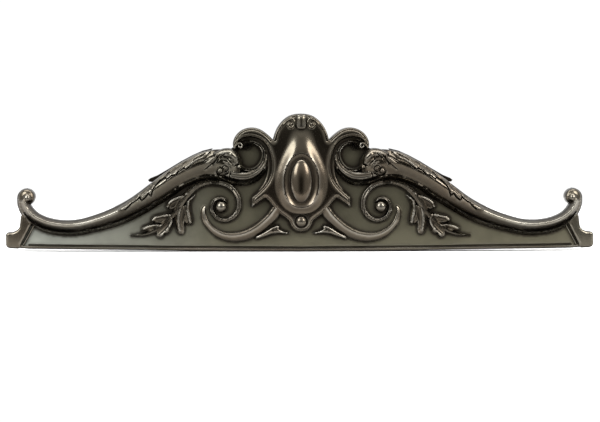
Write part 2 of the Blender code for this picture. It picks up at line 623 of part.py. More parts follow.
def spiral():
    """The scroll that leaves the leaf's stem and winds in to a round boss."""
    half = SPIRAL_BOSS_DIAMETER / STEP_X / 2
    profile = [(-1, 0.5), (-0.6, 0.92), (-0.1, 0.8), (0.5, 1.0), (1, 0.6)]
    band = strap(SPIRAL_SPINE, profile, SPIRAL_RISE, marks=(-0.6, -0.1, 0.5),
                 taper=[(0, 1.2), (0.2, 1), (1, 0.9)])
    return [band, dome(79.6, 41.4, half, half, SPIRAL_BOSS_RISE * 0.3, SPIRAL_BOSS_RISE)]


def forms():
    """Every form in the order that it is laid on the plate."""
    ends = [field()] + lip() + [end_block(), end_bead(), scroll_bead(), scroll_body()] + volute()
    bird = [jaw()] + head() + [scroll_leaf(), ear_step(), curl()]
    shield = [cartouche(), ear_curl(), crescent(), bulge(), crown_roll(), keystone(), recess(), cabochon()]
    return ends + bird + shield + tail_boss() + [feather()] + leaf() + spiral()


def buried(line, own, shapes):
    """Which points of a form's line lie well under another form, where nothing of it shows."""
    under = np.zeros(len(line), bool)
    shape = shapes[own]
    if shape["how"] != "over":
        return under
    top = shape["height"](line)
    for place, other in enumerate(shapes):
        cuts = [cut for cut in shapes[place:own] if cut["how"] == "down to"]
        open_here = [inside(line, cut["crest"]) for cut in cuts]
        rows = np.flatnonzero(inside(line, other["crest"]) & ~np.any(open_here or [under], axis=0))
        if other is shape or other["how"] != "over" or len(rows) == 0:
            continue
        deep = nearest(line[rows], other["crest"], closed=True)[0] > BURIED_DEPTH
        under[rows[deep & (other["height"](line[rows]) > top[rows] + BURIED_DROP)]] = True
    return under


def clip_half(start, end):
    """The part of a piece of line that is on the drawn half, or nothing."""
    if start[0] < 0 and end[0] < 0:
        return None
    if start[0] < 0 or end[0] < 0:
        u = start[0] / (start[0] - end[0])
        middle = start + (end - start) * u
        middle[0] = 0.0
        return (middle, end) if start[0] < 0 else (start, middle)
    return start, end


def grid_points(shapes, gap, fixed):
    """Points on a staggered grid over the forms, clear of the points on lines."""
    tree = KDTree(len(fixed))
    for index, point in enumerate(fixed):
        tree.insert((point[0], point[1], 0.0), index)
    tree.balance()
    rows = np.arange(LOW_STEP + gap / 2, TOP_STEP, gap * 0.866)
    raw = np.array([(out + (row % 2) * gap / 2, up) for row, up in enumerate(rows)
                    for out in np.arange(gap / 2, HALF_STEPS, gap)])
    covered = np.zeros(len(raw), bool)
    for shape in shapes:
        covered |= inside(raw, shape["crest"])
    raw = raw[covered]
    return [point for point in raw if tree.find((point[0], point[1], 0.0))[2] > gap * 0.45]


def triangulate(shapes, gap):
    """Cut the drawn half into triangles that keep every outline and line."""
    points, edges = [], []

    def add_line(line, own):
        under = buried(line, own, shapes)
        for start, end, hidden in zip(line[:-1], line[1:], under[:-1] & under[1:]):
            part = clip_half(start.copy(), end.copy())
            if part is not None and not hidden:
                edges.append((len(points), len(points) + 1))
                points.extend(part)

    for own, shape in enumerate(shapes):
        for ring in (shape["crest"], shape["foot"]):
            add_line(np.vstack([ring, ring[:1]]), own)
        for line in shape["lines"]:
            add_line(line, own)
    seam = straight([(0.0, LOW_STEP - 2.0), (0.0, TOP_STEP + 2.0)], gap)
    edges.extend((len(points) + step, len(points) + step + 1) for step in range(len(seam) - 1))
    points.extend(seam)
    points.extend(grid_points(shapes, gap, points))
    done = delaunay_2d_cdt([Vector(point) for point in points], edges, [], 0, MERGE)
    flat = np.array([tuple(point) for point in done[0]])
    flat[np.abs(flat[:, 0]) < MERGE, 0] = 0.0
    triangles = np.array([face for face in done[2] if len(face) == 3])
    return flat, triangles


def lay_forms(shapes, flat, triangles):
    """The height of every point once each form in turn is laid over, put on or cut down."""
    middle = flat[triangles].mean(axis=1)
    height = np.zeros(len(flat))
    for shape in shapes:
        use = np.unique(triangles[inside(middle, shape["crest"])])
        if len(use) == 0:
            continue
        new = shape["height"](flat[use])
        if shape["how"] == "over":
            height[use] = np.maximum(height[use], new)
        elif shape["how"] == "down to":
            height[use] = np.minimum(height[use], new)
        else:
            height[use] = height[use] + new
    return height


def keep_solid(shapes, flat, triangles, height):
    """The triangles inside a form or its walls; the points on their border lie on the back."""
    middle = flat[triangles].mean(axis=1)
    held = np.zeros(len(middle), bool)
    for shape in shapes:
        held |= inside(middle, shape["crest"]) | inside(middle, shape["foot"])
    kept = triangles[held & (middle[:, 0] > 0)]
    border = edge_loops(kept)
    outer = border[(flat[border, 0] > 0).any(axis=1)]
    height[np.unique(outer)] = 0.0
    return kept


def edge_loops(triangles):
    """The edges that only one triangle uses."""
    pairs = np.sort(np.vstack([triangles[:, [0, 1]], triangles[:, [1, 2]], triangles[:, [2, 0]]]), axis=1)
    unique, count = np.unique(pairs, axis=0, return_counts=True)
    return unique[count == 1]


def close_back(places, border):
    """Triangles of the flat back inside the border's loops."""
    used = np.unique(border)
    index = {int(old): new for new, old in enumerate(used)}
    links = [(index[int(a)], index[int(b)]) for a, b in border]
    spots = places[used]
    done = delaunay_2d_cdt([Vector(spot) for spot in spots], links, [], 1, 1e-7)
    back = np.array([face for face in done[2] if len(face) == 3])
    source = [origin[0] for origin in done[3]]
    middle = np.array([tuple(spot) for spot in done[0]])[back].mean(axis=1)
    odd = np.zeros(len(middle), bool)
    for a, b in links:
        (x0, y0), (x1, y1) = spots[a], spots[b]
        if y0 != y1:
            odd ^= (((y0 > middle[:, 1]) != (y1 > middle[:, 1]))
                    & (middle[:, 0] < (x1 - x0) * (middle[:, 1] - y0) / (y1 - y0) + x0))
    return used[np.array(source)[back[odd]]][:, ::-1]


def whole_solid(flat, triangles, height):
    """Mirror the half, close the flat back, and give places in metres and triangles."""
    ids = np.arange(len(flat))
    mirrored = np.where(flat[:, 0] == 0.0, ids, ids + len(flat))
    other = mirrored[triangles][:, ::-1]
    both = np.vstack([flat, flat * (-1.0, 1.0)]) * (STEP_X, STEP_Z) - (0.0, ORIGIN_STEP * STEP_Z)
    front = np.vstack([triangles, other])
    back = close_back(both, edge_loops(front))
    tall = np.concatenate([height, height])
    places = np.stack([both[:, 0], -tall, both[:, 1]], axis=1)
    faces = np.vstack([front, back])
    used, faces = np.unique(faces, return_inverse=True)
    return places[used], faces.reshape(-1, 3)


def dark_metal():
    material = bpy.data.materials.new("dark_bronze")
    material.use_nodes = True
    surface = material.node_tree.nodes["Principled BSDF"]
    surface.inputs["Base Color"].default_value = (0.16, 0.15, 0.125, 1.0)
    surface.inputs["Metallic"].default_value = 1.0
    surface.inputs["Roughness"].default_value = 0.38
    return material


def make_onlay():
    shapes = forms()
    flat, triangles = triangulate(shapes, FACE_GRID)
    height = lay_forms(shapes, flat, triangles)
    triangles = keep_solid(shapes, flat, triangles, height)
    places, faces = whole_solid(flat, triangles, height)
    mesh = bpy.data.meshes.new("scroll_onlay")
    mesh.from_pydata(places.tolist(), [], faces.tolist())
    mesh.update()
    mesh.shade_smooth()
    mesh.set_sharp_from_angle(angle=math.radians(32))
    mesh.materials.append(dark_metal())
    piece = bpy.data.objects.new("scroll_onlay", mesh)
    bpy.context.scene.collection.objects.link(piece)
    return piece


def main():
    for old in list(bpy.data.objects):
        bpy.data.objects.remove(old)
    make_onlay()


main()
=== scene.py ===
"""The scroll onlay's looks: the casting as one finely cut relief, its metal, light and camera."""
import math

import bpy
import numpy as np
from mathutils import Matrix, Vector
from mathutils.geometry import delaunay_2d_cdt
from mathutils.kdtree import KDTree

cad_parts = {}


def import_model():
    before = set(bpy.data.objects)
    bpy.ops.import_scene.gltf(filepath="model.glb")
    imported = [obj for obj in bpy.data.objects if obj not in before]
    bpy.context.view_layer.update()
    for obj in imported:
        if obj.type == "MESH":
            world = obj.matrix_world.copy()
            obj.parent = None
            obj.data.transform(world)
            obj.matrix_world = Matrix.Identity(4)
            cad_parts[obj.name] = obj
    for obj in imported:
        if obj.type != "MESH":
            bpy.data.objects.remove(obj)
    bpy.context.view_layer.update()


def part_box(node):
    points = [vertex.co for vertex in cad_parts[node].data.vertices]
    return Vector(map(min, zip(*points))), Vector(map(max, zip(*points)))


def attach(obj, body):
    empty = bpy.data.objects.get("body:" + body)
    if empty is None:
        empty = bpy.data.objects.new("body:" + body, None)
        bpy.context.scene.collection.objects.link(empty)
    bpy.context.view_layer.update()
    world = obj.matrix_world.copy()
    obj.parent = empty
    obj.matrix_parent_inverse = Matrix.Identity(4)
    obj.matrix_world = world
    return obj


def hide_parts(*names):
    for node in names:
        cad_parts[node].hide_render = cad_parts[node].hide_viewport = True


# Overall size, in metres
LENGTH = 0.600
HEIGHT = 0.1400
END_THICKNESS = 0.0065
BOW = 0.0125

# How far each form stands in front of the plate, in metres
LIP_RISE = 0.0014
LIP_GROOVE_DEPTH = 0.0009
BLOCK_RISE = 0.0030
END_BEAD_RISE = 0.0022
BEAD_RISE = 0.0056
SCROLL_RISE = 0.0112
VOLUTE_RISE = 0.0100
SCROLL_LEAF_THICKNESS = 0.0030
HEAD_RISE = 0.0120
JAW_RISE = 0.0082
CURL_RISE = 0.0066
STEP_RISE = 0.0028
CARTOUCHE_RISE = 0.0078
CARTOUCHE_EDGE = 0.0050
BULGE_RISE = 0.0052
CROWN_ROLL_RISE = 0.0014
KEYSTONE_RISE = 0.0126
RECESS_RISE = 0.0092
RECESS_COVE = 0.0022
CABOCHON_RISE = 0.0166
BOSS_GROOVE_RISE = 0.0062
BOSS_RISE = 0.0108
CRESCENT_RISE = 0.0078
LEAF_RISE = 0.0066
SPIRAL_RISE = 0.0046
SPIRAL_BOSS_RISE = 0.0078
FEATHER_RISE = 0.0062

# Sizes across the face, in metres
CABOCHON_WIDTH = 0.0230
CABOCHON_HEIGHT = 0.0445
RECESS_WIDTH = 0.0356
RECESS_HEIGHT = 0.0570
BOSS_DIAMETER = 0.0112
SPIRAL_BOSS_DIAMETER = 0.0120
KNOB_DIAMETER = 0.0164
VOLUTE_DIAMETER = 0.0092
LIP_HEIGHT = 0.0030
LIP_GROOVE_HEIGHT = 0.0016
WALL_DRAFT = 0.00032

# The drawing grid
HALF_STEPS = 294.5
LOW_STEP = -3.6
TOP_STEP = 133.8
ORIGIN_STEP = 67.0
STEP_X = (LENGTH / 2 - WALL_DRAFT) / HALF_STEPS
STEP_Z = (HEIGHT - 2 * WALL_DRAFT) / (TOP_STEP - LOW_STEP)
DRAFT = WALL_DRAFT / STEP_X

# Widths and reaches on the face, in steps
LIP_OVERLAP = 1.5
SCROLL_LEAF_REACH = 2.4
EAR_STEP_WIDTHS = (1.4, 2.0, 2.6, 2.8, 2.8, 2.8, 2.8, 2.8, 2.6, 2.2, 1.6, 0.9)
BULGE_REACH = 13.0
BULGE_ROWS = (39, 97, 103, 109, 115)
BULGE_FALL = (86, 122)
KEYSTONE_HALF = 5.5
KEYSTONE_FOOT = 117.6
KEYSTONE_REACH = 6.0
LOBE_RIM = 1.2
LOBE_RIB = 1.7

# The share of the swell's rise that is left at its neck
NECK_SHARE = 0.16

# How finely the relief is cut into triangles, in steps; the next two are shares of FACE_GRID
CURVE_STEP = 0.6
FACE_GRID = 1.13
ROW_SHARE = 0.866
GRID_CLEARANCE = 0.45
LOBE_STEP = 1.6
PROFILE_STEP = 0.04
OVAL_POINTS = 54
MERGE = 0.04
JUMP = CURVE_STEP * 2.5

# Limits that keep outlines clean: a band's half width, a corner's sharpness, an inner line's gap
LEAST_HALF_WIDTH = 0.15
SHARPEST_CORNER = 0.9
OFFSET_SHARE = 0.93

# A line is left out where another form covers it by this many steps and metres
BURIED_DEPTH = 1.0
BURIED_DROP = 0.0004

# Rounding of the forms' upper edges: drop in metres, reach in steps
EDGE_ROUND = 0.00045
EDGE_REACH = 1.0
EDGE_LINES = (0.3, 0.85)

# Fine cuts and ridges on the forms: depths in metres, places and half widths in steps
FLUTE_DEPTH = 0.0016
FLUTE_RISE = 0.0009
VEIN_DEPTH = 0.0008
LEAF_CUT_DEPTH = 0.0013
LEAF_CUT_HALF = 0.9
LEAF_CUT_DROP = 0.7
RIM_GAP = 2.0
RIM_HALF = 0.75
RIM_DEPTH = 0.0007
FLUTES = [
    [(107, 87.4, 0.5), (101.5, 91, 1.1), (95, 94.8, 0.5)],
    [(97.5, 86.6, 0.5), (91, 90.4, 1.2), (84.4, 94, 0.5)],
    [(95.6, 78.6, 0.4), (88.8, 84, 1.2), (83.6, 89.6, 1.0), (80.4, 94.4, 0.4)],
    [(84.2, 85.4, 0.5), (79.8, 91, 1.0), (75, 95, 0.5)],
]
CREASES = [
    [(73.4, 89.6, 0.5), (69.6, 85.4, 1.3), (65.4, 82.8, 1.3), (61.8, 84, 0.6)],
    [(84.4, 77.6, 0.4), (83.4, 74.4, 0.9), (79.4, 72.8, 0.9), (75, 73.4, 0.9), (71.4, 76.4, 0.5)],
    [(69.6, 76, 0.5), (71, 72.4, 0.9), (70.6, 69, 0.5)],
    [(78.6, 78.4, 0.5), (78, 81.2, 0.8), (75.6, 82.4, 0.8), (72.6, 80.8, 0.8), (73, 77.6, 0.8),
     (76, 76.2, 0.5)],
]
RIDGES = [
    [(104, 86.4, 0.5), (98, 90.6, 1.2), (91, 94.4, 0.5)],
    [(94.6, 84.4, 0.5), (87.6, 89.4, 1.2), (82, 94, 0.5)],
    [(87.6, 82.4, 0.5), (83, 87.6, 1.1), (79.6, 92.4, 0.5)],
    [(77, 86.6, 0.5), (73.4, 84.6, 1.2), (69.4, 80.4, 0.5)],
]
VEINS = [
    [(171.4, 43, 0.4), (160, 51, 0.8), (148, 61.4, 0.3)],
    [(160, 53, 0.4), (154.4, 57.4, 0.9), (146, 66, 0.3)],
    [(148.4, 57.4, 0.4), (141, 67, 1.0), (130, 76.6, 0.3)],
    [(134.4, 72.6, 0.4), (126, 79, 0.9), (114, 86.6, 0.3)],
    [(122.4, 77.4, 0.4), (114, 83.6, 0.9), (103, 91, 0.3)],
]
# The eye, cheek, nostril and forehead: out, up, half width, share of FLUTE_RISE
HEAD_BUMPS = [
    (75.6, 79.3, 1.5, 1.3), (80.6, 77.4, 2.9, 1.4), (60.2, 80, 1.5, 1.5), (67, 91.2, 5.2, 1.0),
]

# Camera, in degrees and metres
CAMERA_AZIMUTH = -1.6
CAMERA_ELEVATION = 3.0
CAMERA_DISTANCE = 2.2
CAMERA_AIM = (-0.00094, -0.015, -0.0308)
VIEW_WIDTH = 0.6092

# The room that the metal reflects: greys, and where one gives way to the next
FRONT_GREY = (0.036, 0.031, 0.025, 1.0)
SIDE_GREY = (0.70, 0.71, 0.70, 1.0)
SIDE_BAND = (0.12, 0.42)
UPPER_GREY = (0.90, 0.90, 0.88, 1.0)
UPPER_BAND = (0.06, 0.42)
BACK_GREY = (1.05, 1.05, 1.05, 1.0)
BACK_BAND = (-0.35, 0.45)
FLOOR_GREY = (0.9, 0.9, 0.9, 1.0)
FLOOR_ROUGHNESS = 0.9
FLOOR_ENDS = (-0.15, 0.9)
FLOOR_HALF = 4

# Soft boxes that face the origin: name, place, width and height, watts, colour
LIGHTS = [
    ("left_box", (-1.25, -1.35, 0.95), (0.9, 1.2), 34.0, (0.95, 0.98, 1.0)),
    ("right_box", (1.3, -1.3, 1.0), (0.8, 1.1), 34.0, (1.0, 0.98, 0.95)),
    ("top_box", (0.0, -0.25, 1.9), (2.4, 0.7), 40.0, (1.0, 1.0, 1.0)),
]

# The metal's colours; over a band of x, in metres, a painted sheen turns the plate pale towards its
# left end, in place of a light's reflection there
GREEN_METAL = (0.105, 0.096, 0.074, 1.0)
BROWN_METAL = (0.098, 0.078, 0.057, 1.0)
FIELD_METAL = (0.108, 0.100, 0.070, 1.0)
PAINTED_LEFT_SHEEN = (0.27, 0.28, 0.25, 1.0)
LEFT_SHEEN_BAND = (-0.27, -0.08)
LEFT_SHEEN_SHARE = 0.8
# Dark patina for random patches, also used as painted shade in hollows and on undersides
PATINA_AND_PAINTED_SHADE = (0.014, 0.011, 0.008, 1.0)
# Pale rubbed metal on raised edges, which also paints highlight lines along them
WORN_METAL_AND_SHEEN = (0.42, 0.40, 0.355, 1.0)

# Sizes of the metal's clouds, patches, polish and grain, as noise scales
CLOUD_SCALE = 9.0
PATCH_SCALE = 60.0
POLISH_SCALE = 35.0
GRAIN_SCALE = 620.0

# Share at most of dark patina, painted shade and bare metal, by its cause: patches are patina, deep
# hollows and undersides are painted shade, hollows are patina and painted shade, and rubbed edges are
# bare metal that also paints highlights
PATCH_SHARE = 0.2
DEEP_SHADE_SHARE = 0.65
UNDERSIDE_SHADE_SHARE = 0.82
WEAR_AND_SHEEN_SHARES = (0.24, 0.48)
HOLLOW_PATINA_AND_SHADE_SHARES = (1.0, 0.8)

# Roughness of polished metal, and what hollows and the open plate add to it
POLISH = (0.18, 0.23)
HOLLOW_ROUGHNESS = 0.3
PLATE_ROUGHNESS = 0.2

# Fine bumps of the metal: their strength, height in metres, and share on forms and on the plate
BUMP_STRENGTH = 0.3
BUMP_HEIGHT = 0.0002
GRAIN_SHARES = (0.04, 1.0)
WAVE_SHARE = 0.5

# How the painted shade, patina and rubbed edges read the form: rounds of smoothing, heights in metres,
# and shares
FRONT_LEAST = 0.002
NEAR_ROUNDS = 3
WIDE_ROUNDS = 12
DEEP_ROUNDS = 60
TURN_ROUNDS = 5
NEAR_HOLLOW = (0.0006, 0.9)
WIDE_HOLLOW = (0.0024, 0.45)
DEEP_HOLLOW = 0.0036
WEAR_AND_SHEEN_START = 0.00012
WEAR_AND_SHEEN_SPAN = 0.00045
PLATE_SPAN = 0.0007
UNDERSIDE = 0.6
SHARP_ANGLE = 75.0


def curve(points, step=CURVE_STEP):
    """Even points along a smooth curve through the given ones, in any number of columns."""
    knots = np.array(points, float)
    chords = np.hypot(*np.diff(knots[:, :2], axis=0).T)
    at = np.concatenate([[0.0], np.cumsum(chords)])
    slope = np.gradient(knots, at, axis=0)
    along = np.linspace(0.0, at[-1], max(3, int(at[-1] / step) + 1))
    left = np.clip(np.searchsorted(at, along, side="right") - 1, 0, len(at) - 2)
    span = (at[left + 1] - at[left])[:, None]
    u = ((along - at[left]) / span[:, 0])[:, None]
    return ((2 * u ** 3 - 3 * u ** 2 + 1) * knots[left] + (u ** 3 - 2 * u ** 2 + u) * span * slope[left]
            + (3 * u ** 2 - 2 * u ** 3) * knots[left + 1] + (u ** 3 - u ** 2) * span * slope[left + 1])


def unit(values):
    """Values held between 0 and 1."""
    return np.clip(values, 0.0, 1.0)


def normals(line, closed=False):
    """Unit vectors to the left of a line at each of its points."""
    if closed:
        run = np.roll(line, -1, axis=0) - np.roll(line, 1, axis=0)
    else:
        run = np.gradient(line, axis=0)
    run /= np.maximum(np.hypot(*run.T), 1e-9)[:, None]
    return np.stack([-run[:, 1], run[:, 0]], axis=1)


def nearest(points, line, closed=False):
    """For each point: distance to a line, share of its length there, and side (+1 is left)."""
    ends = np.vstack([line, line[:1]]) if closed else line
    start, run = ends[:-1], np.diff(ends, axis=0)
    size = np.maximum((run ** 2).sum(axis=1), 1e-12)
    far, share, side = [], [], []
    for chunk in np.array_split(points, max(1, len(points) // 2000)):
        gap = chunk[:, None, :] - start[None]
        u = unit((gap * run).sum(axis=2) / size)
        off = gap - u[..., None] * run
        apart = np.hypot(off[..., 0], off[..., 1])
        best = apart.argmin(axis=1)
        row = np.arange(len(chunk))
        far.append(apart[row, best])
        share.append((best + u[row, best]) / len(run))
        turn = run[best, 0] * gap[row, best, 1] - run[best, 1] * gap[row, best, 0]
        side.append(np.where(turn >= 0, 1.0, -1.0))
    return np.concatenate(far), np.concatenate(share), np.concatenate(side)


def enclosed(points, starts, ends):
    """Which points lie inside the loops that edges make, by counting the edges to one side."""
    x, y = points.T
    odd = np.zeros(len(points), bool)
    for (x0, y0), (x1, y1) in zip(starts, ends):
        if y0 != y1:
            odd ^= ((y0 > y) != (y1 > y)) & (x < (x1 - x0) * (y - y0) / (y1 - y0) + x0)
    return odd


def inside(points, ring):
    """Which points lie inside a closed ring."""
    hit = np.zeros(len(points), bool)
    low, high = ring.min(axis=0), ring.max(axis=0)
    near = np.flatnonzero(((points > low) & (points < high)).all(axis=1))
    hit[near] = enclosed(points[near], ring, np.roll(ring, -1, axis=0))
    return hit


def counter_clockwise(ring):
    """The same ring, turned so that it runs counter-clockwise."""
    x, y = ring.T
    area = (x * np.roll(y, -1) - y * np.roll(x, -1)).sum()
    return ring if area > 0 else ring[::-1]


def offset(ring, gap):
    """A ring moved outwards by a gap, or inwards if the gap is negative."""
    ring = counter_clockwise(ring)
    moved = ring - normals(ring, closed=True) * gap
    clear = nearest(moved, ring, closed=True)[0] > abs(gap) * OFFSET_SHARE
    same_side = inside(moved, ring) == (gap < 0)
    return moved[clear & same_side]


def wall_foot(crest):
    """The line round a form's foot: its outline, moved out by the draft of its walls."""
    before = crest - np.roll(crest, 1, axis=0)
    after = np.roll(before, -1, axis=0)
    before /= np.hypot(*before.T)[:, None]
    after /= np.hypot(*after.T)[:, None]
    out = np.stack([before[:, 1] + after[:, 1], -before[:, 0] - after[:, 0]], axis=1)
    size = np.maximum((out ** 2).sum(axis=1), SHARPEST_CORNER)
    return crest + out * (2.0 * DRAFT / size)[:, None]


def plate(points):
    """Height of the bowed plate over the flat back, in metres."""
    return END_THICKNESS + BOW * (1.0 - (points[:, 0] / HALF_STEPS) ** 2)


def form(ring, height, lines=(), how="over"):
    """One form of the relief: its outline, the lines on it, and its height over the back."""
    crest = counter_clockwise(np.asarray(ring, float))
    marks = [np.asarray(line, float) for line in lines if len(line) > 1]
    return {"crest": crest, "foot": wall_foot(crest), "lines": marks, "height": height, "how": how}


def shape_of(profile):
    """A smooth function through the (share across, share of rise) points of a profile."""
    bend = curve(profile, PROFILE_STEP)
    return lambda share: np.interp(share, bend[:, 0], bend[:, 1])


def end_cap(centre, left, width):
    """Points of a half round from the left side of a strap's end to its right side."""
    first = math.atan2(left[1], left[0])
    sides = 3 + int(width)
    turn = first - np.linspace(0.0, math.pi, sides)[1:-1]
    return centre + width * np.stack([np.cos(turn), np.sin(turn)], axis=1)


def strap(spine, profile, rise, marks=(), taper=None, base=0.0):
    """A band along a spine of (out, up, half width), with a profile across it.

    The profile runs from -1 at the right edge to 1 at the left one, seen along the spine.
    The taper gives the share of the rise at shares of the length.
    """
    line = curve(spine)
    centre, width = line[:, :2], np.maximum(line[:, 2], LEAST_HALF_WIDTH)
    side = normals(centre)
    left = centre + side * width[:, None]
    right = centre - side * width[:, None]
    cap = end_cap(centre[-1], side[-1], width[-1])
    tail = end_cap(centre[0], -side[0], width[0])
    across = shape_of(profile)
    fall = taper or [(0.0, 1.0), (1.0, 1.0)]

    def height(points):
        far, share, hand = nearest(points, centre)
        half = np.interp(share, np.linspace(0, 1, len(width)), width)
        lift = np.interp(share, *np.array(fall, float).T)
        return plate(points) + base + rise * lift * across(np.clip(hand * far / half, -1.0, 1.0))

    lines = [centre + side * (width * mark)[:, None] for mark in marks]
    return form(np.vstack([left, cap, right[::-1], tail]), height, lines)


def pillow(ring, edge, top, reach, rings=(1.0,)):
    """A patch that rises from its edge to its full height within a reach."""
    ring = counter_clockwise(np.asarray(ring, float))

    def height(points):
        near = unit(nearest(points, ring, closed=True)[0] / reach)
        return plate(points) + edge + (top - edge) * np.sqrt(1.0 - (1.0 - near) ** 2)

    return form(ring, height, inner_lines(ring, reach, rings))


def split_jumps(line):
    """The unbroken stretches of a closed line that lost some of its points."""
    ends = np.vstack([line, line[:1]])
    step = np.hypot(*np.diff(ends, axis=0).T)
    cuts = np.flatnonzero(step > JUMP) + 1
    return [piece for piece in np.split(ends, cuts) if len(piece) > 2]


def inner_lines(ring, reach, shares):
    """Lines that follow a ring inside it, at shares of a reach."""
    return [piece for share in shares for piece in split_jumps(offset(ring, -reach * share))]


def oval(out, up, half_out, half_up):
    """Even points round an ellipse."""
    turn = np.linspace(0.0, 2 * math.pi, OVAL_POINTS, endpoint=False)
    return np.stack([out + half_out * np.cos(turn), up + half_up * np.sin(turn)], axis=1)


def dome(out, up, half_out, half_up, edge, top, rings=(0.85, 0.5)):
    """An oval boss that rises from its edge to its top."""
    def height(points):
        far = np.hypot((points[:, 0] - out) / half_out, (points[:, 1] - up) / half_up)
        return plate(points) + edge + (top - edge) * np.sqrt(unit(1.0 - far ** 2))

    lines = [np.vstack([ring, ring[:1]]) for ring in
             (oval(out, up, half_out * share, half_up * share) for share in rings)]
    return form(oval(out, up, half_out, half_up), height, lines)


BOTTOM_EDGE = [(283.5, -0.4), (272, -1.4), (200, -2.0), (100, -3.0), (0, -3.6), (-6, -3.6)]


def field():
    """The bowed plate behind everything; its bottom edge is hidden in the lip."""
    top = [(279, 30), (262, 22.5), (232, 17), (200, 24), (172, 31), (132, 55), (100, 74), (72, 97),
           (67, 100.6), (58, 108), (46, 110), (34, 104), (20, 100), (0, 100)]
    low = [(out, up + LIP_OVERLAP) for out, up in BOTTOM_EDGE[::-1]]
    return form(np.vstack([curve(top), straight([(-6, 100)] + low + [(279.2, 29)])]), plate)


def lip():
    """The rounded lip along the bottom edge, with a groove above it."""
    low = np.array(BOTTOM_EDGE)
    tall, gap = LIP_HEIGHT / STEP_Z, LIP_GROOVE_HEIGHT / STEP_Z
    crest = low + (0, tall)

    def height(points):
        up = points[:, 1] - np.interp(points[:, 0], low[::-1, 0], low[::-1, 1])
        share = unit(up / tall)
        return plate(points) + LIP_RISE * (1.9 * np.sqrt(share * (2 - share)) - 0.9)

    ring = straight_ring(np.vstack([low, crest[::-1]]))
    band = straight_ring(np.vstack([crest[1:], crest[:0:-1] + (0, gap)]))
    sunk = form(band, lambda points: plate(points) - LIP_GROOVE_DEPTH, how="down to")
    return [sunk, form(ring, height, [straight(low[1:] + (0, tall * 0.3))])]


def end_block():
    """The block at each end, with its hooked upper corner."""
    ring = [(294.5, 12.5), (293.6, 14.3), (291.8, 15), (287.5, 15.2), (283.6, 17), (280.8, 20),
            (280, 25), (279.4, 31), (276, 36), (268.4, 24.4), (279.4, 2.8), (279.6, 0.2),
            (282.4, -1.2), (290.6, -0.8), (293.4, 0.4), (294.5, 2.6)]
    return pillow(straight_ring(ring), BLOCK_RISE * 0.4, BLOCK_RISE, 2.0)


def straight(corners, step=CURVE_STEP):
    """Even points along the straight runs between corners."""
    out = [np.array(corners[:1], float)]
    for start, end in zip(corners[:-1], corners[1:]):
        count = max(1, int(math.dist(start, end) / step))
        share = np.arange(1, count + 1)[:, None] / count
        out.append(np.array(start) + (np.array(end) - np.array(start)) * share)
    return np.vstack(out)


def straight_ring(corners):
    """Even points along the straight sides of a closed ring."""
    return straight(list(corners) + [corners[0]])[:-1]


def end_bead():
    """The thin bead that slants beside each end block."""
    spine = [(266.6, 21.6, 1.1), (272, 11.6, 1.1), (276.6, 3.2, 1.1)]
    return strap(spine, [(-1, 0.5), (0, 1.0), (1, 0.5)], END_BEAD_RISE, marks=(0,))


SCROLL_SPINE = [
    (276, 46.4, 4.6), (274.2, 40.8, 4.7), (270.2, 35.2, 4.7), (264.6, 30.2, 4.7), (256, 26, 4.7),
    (240, 22.4, 4.9), (222.2, 22.5, 5.3), (206, 26.2, 5.8), (184.5, 33.9, 6.5), (166, 43.2, 7.3),
    (146.5, 55.9, 8.6), (127, 69.2, 9.5), (110.5, 78.2, 10.4), (99.5, 83.1, 11.2),
    (87.5, 85.1, 12.5), (77, 84.2, 13.5), (69.5, 83.4, 11.4),
]
SCROLL_PROFILE = [
    (-1, 0.34), (-0.8, 0.56), (-0.55, 0.84), (-0.33, 1.0), (-0.14, 0.98), (0.2, 0.86), (0.6, 0.64),
    (1, 0.36),
]

BEAD_SPINE = [
    (268.6, 53.8, 1.8), (270.8, 55.8, 2.2), (273.8, 56.4, 2.5), (277.2, 55.2, 2.6),
    (279.6, 52, 2.7), (280, 46.8, 2.8), (278.6, 39.6, 3.0), (275.2, 33, 3.0), (270, 27, 3.0),
    (261.6, 21.4, 3.1), (245, 16.2, 3.2), (235, 15.4, 3.2), (221.5, 15.8, 3.3), (212, 17.8, 3.3),
    (192, 22.7, 3.4), (172, 29.8, 3.6), (152, 40.6, 3.6), (132, 53.4, 3.6), (112, 66.2, 3.5),
    (98, 71, 3.4), (84, 71.4, 3.2), (77, 69.4, 3.0), (70.5, 67, 3.0), (63.5, 65.4, 3.0),
    (57, 65.2, 3.0), (50.5, 66.3, 3.0), (43.8, 70, 2.8), (38, 76, 2.4), (34.5, 83, 1.4),
]
BEAD_PROFILE = [(-1, 0.30), (-0.5, 0.50), (0, 1.0), (0.5, 0.52), (1, 0.25)]


def scroll_body():
    """The long S-scroll."""
    return strap(SCROLL_SPINE, SCROLL_PROFILE, SCROLL_RISE, marks=(-0.78, -0.33, 0.45))


def scroll_bead():
    """The bead that runs under the scroll."""
    return strap(BEAD_SPINE, BEAD_PROFILE, BEAD_RISE, marks=(0,))


def volute():
    """The knob that the scroll's outer end winds into, and the ball at its middle."""
    knob, ball = KNOB_DIAMETER / STEP_X / 2, VOLUTE_DIAMETER / STEP_X / 2
    return [dome(273.2, 50.6, knob, knob, BEAD_RISE * 0.5, BEAD_RISE * 1.3),
            dome(272.4, 50.0, ball, ball, BEAD_RISE * 0.9, VOLUTE_RISE)]


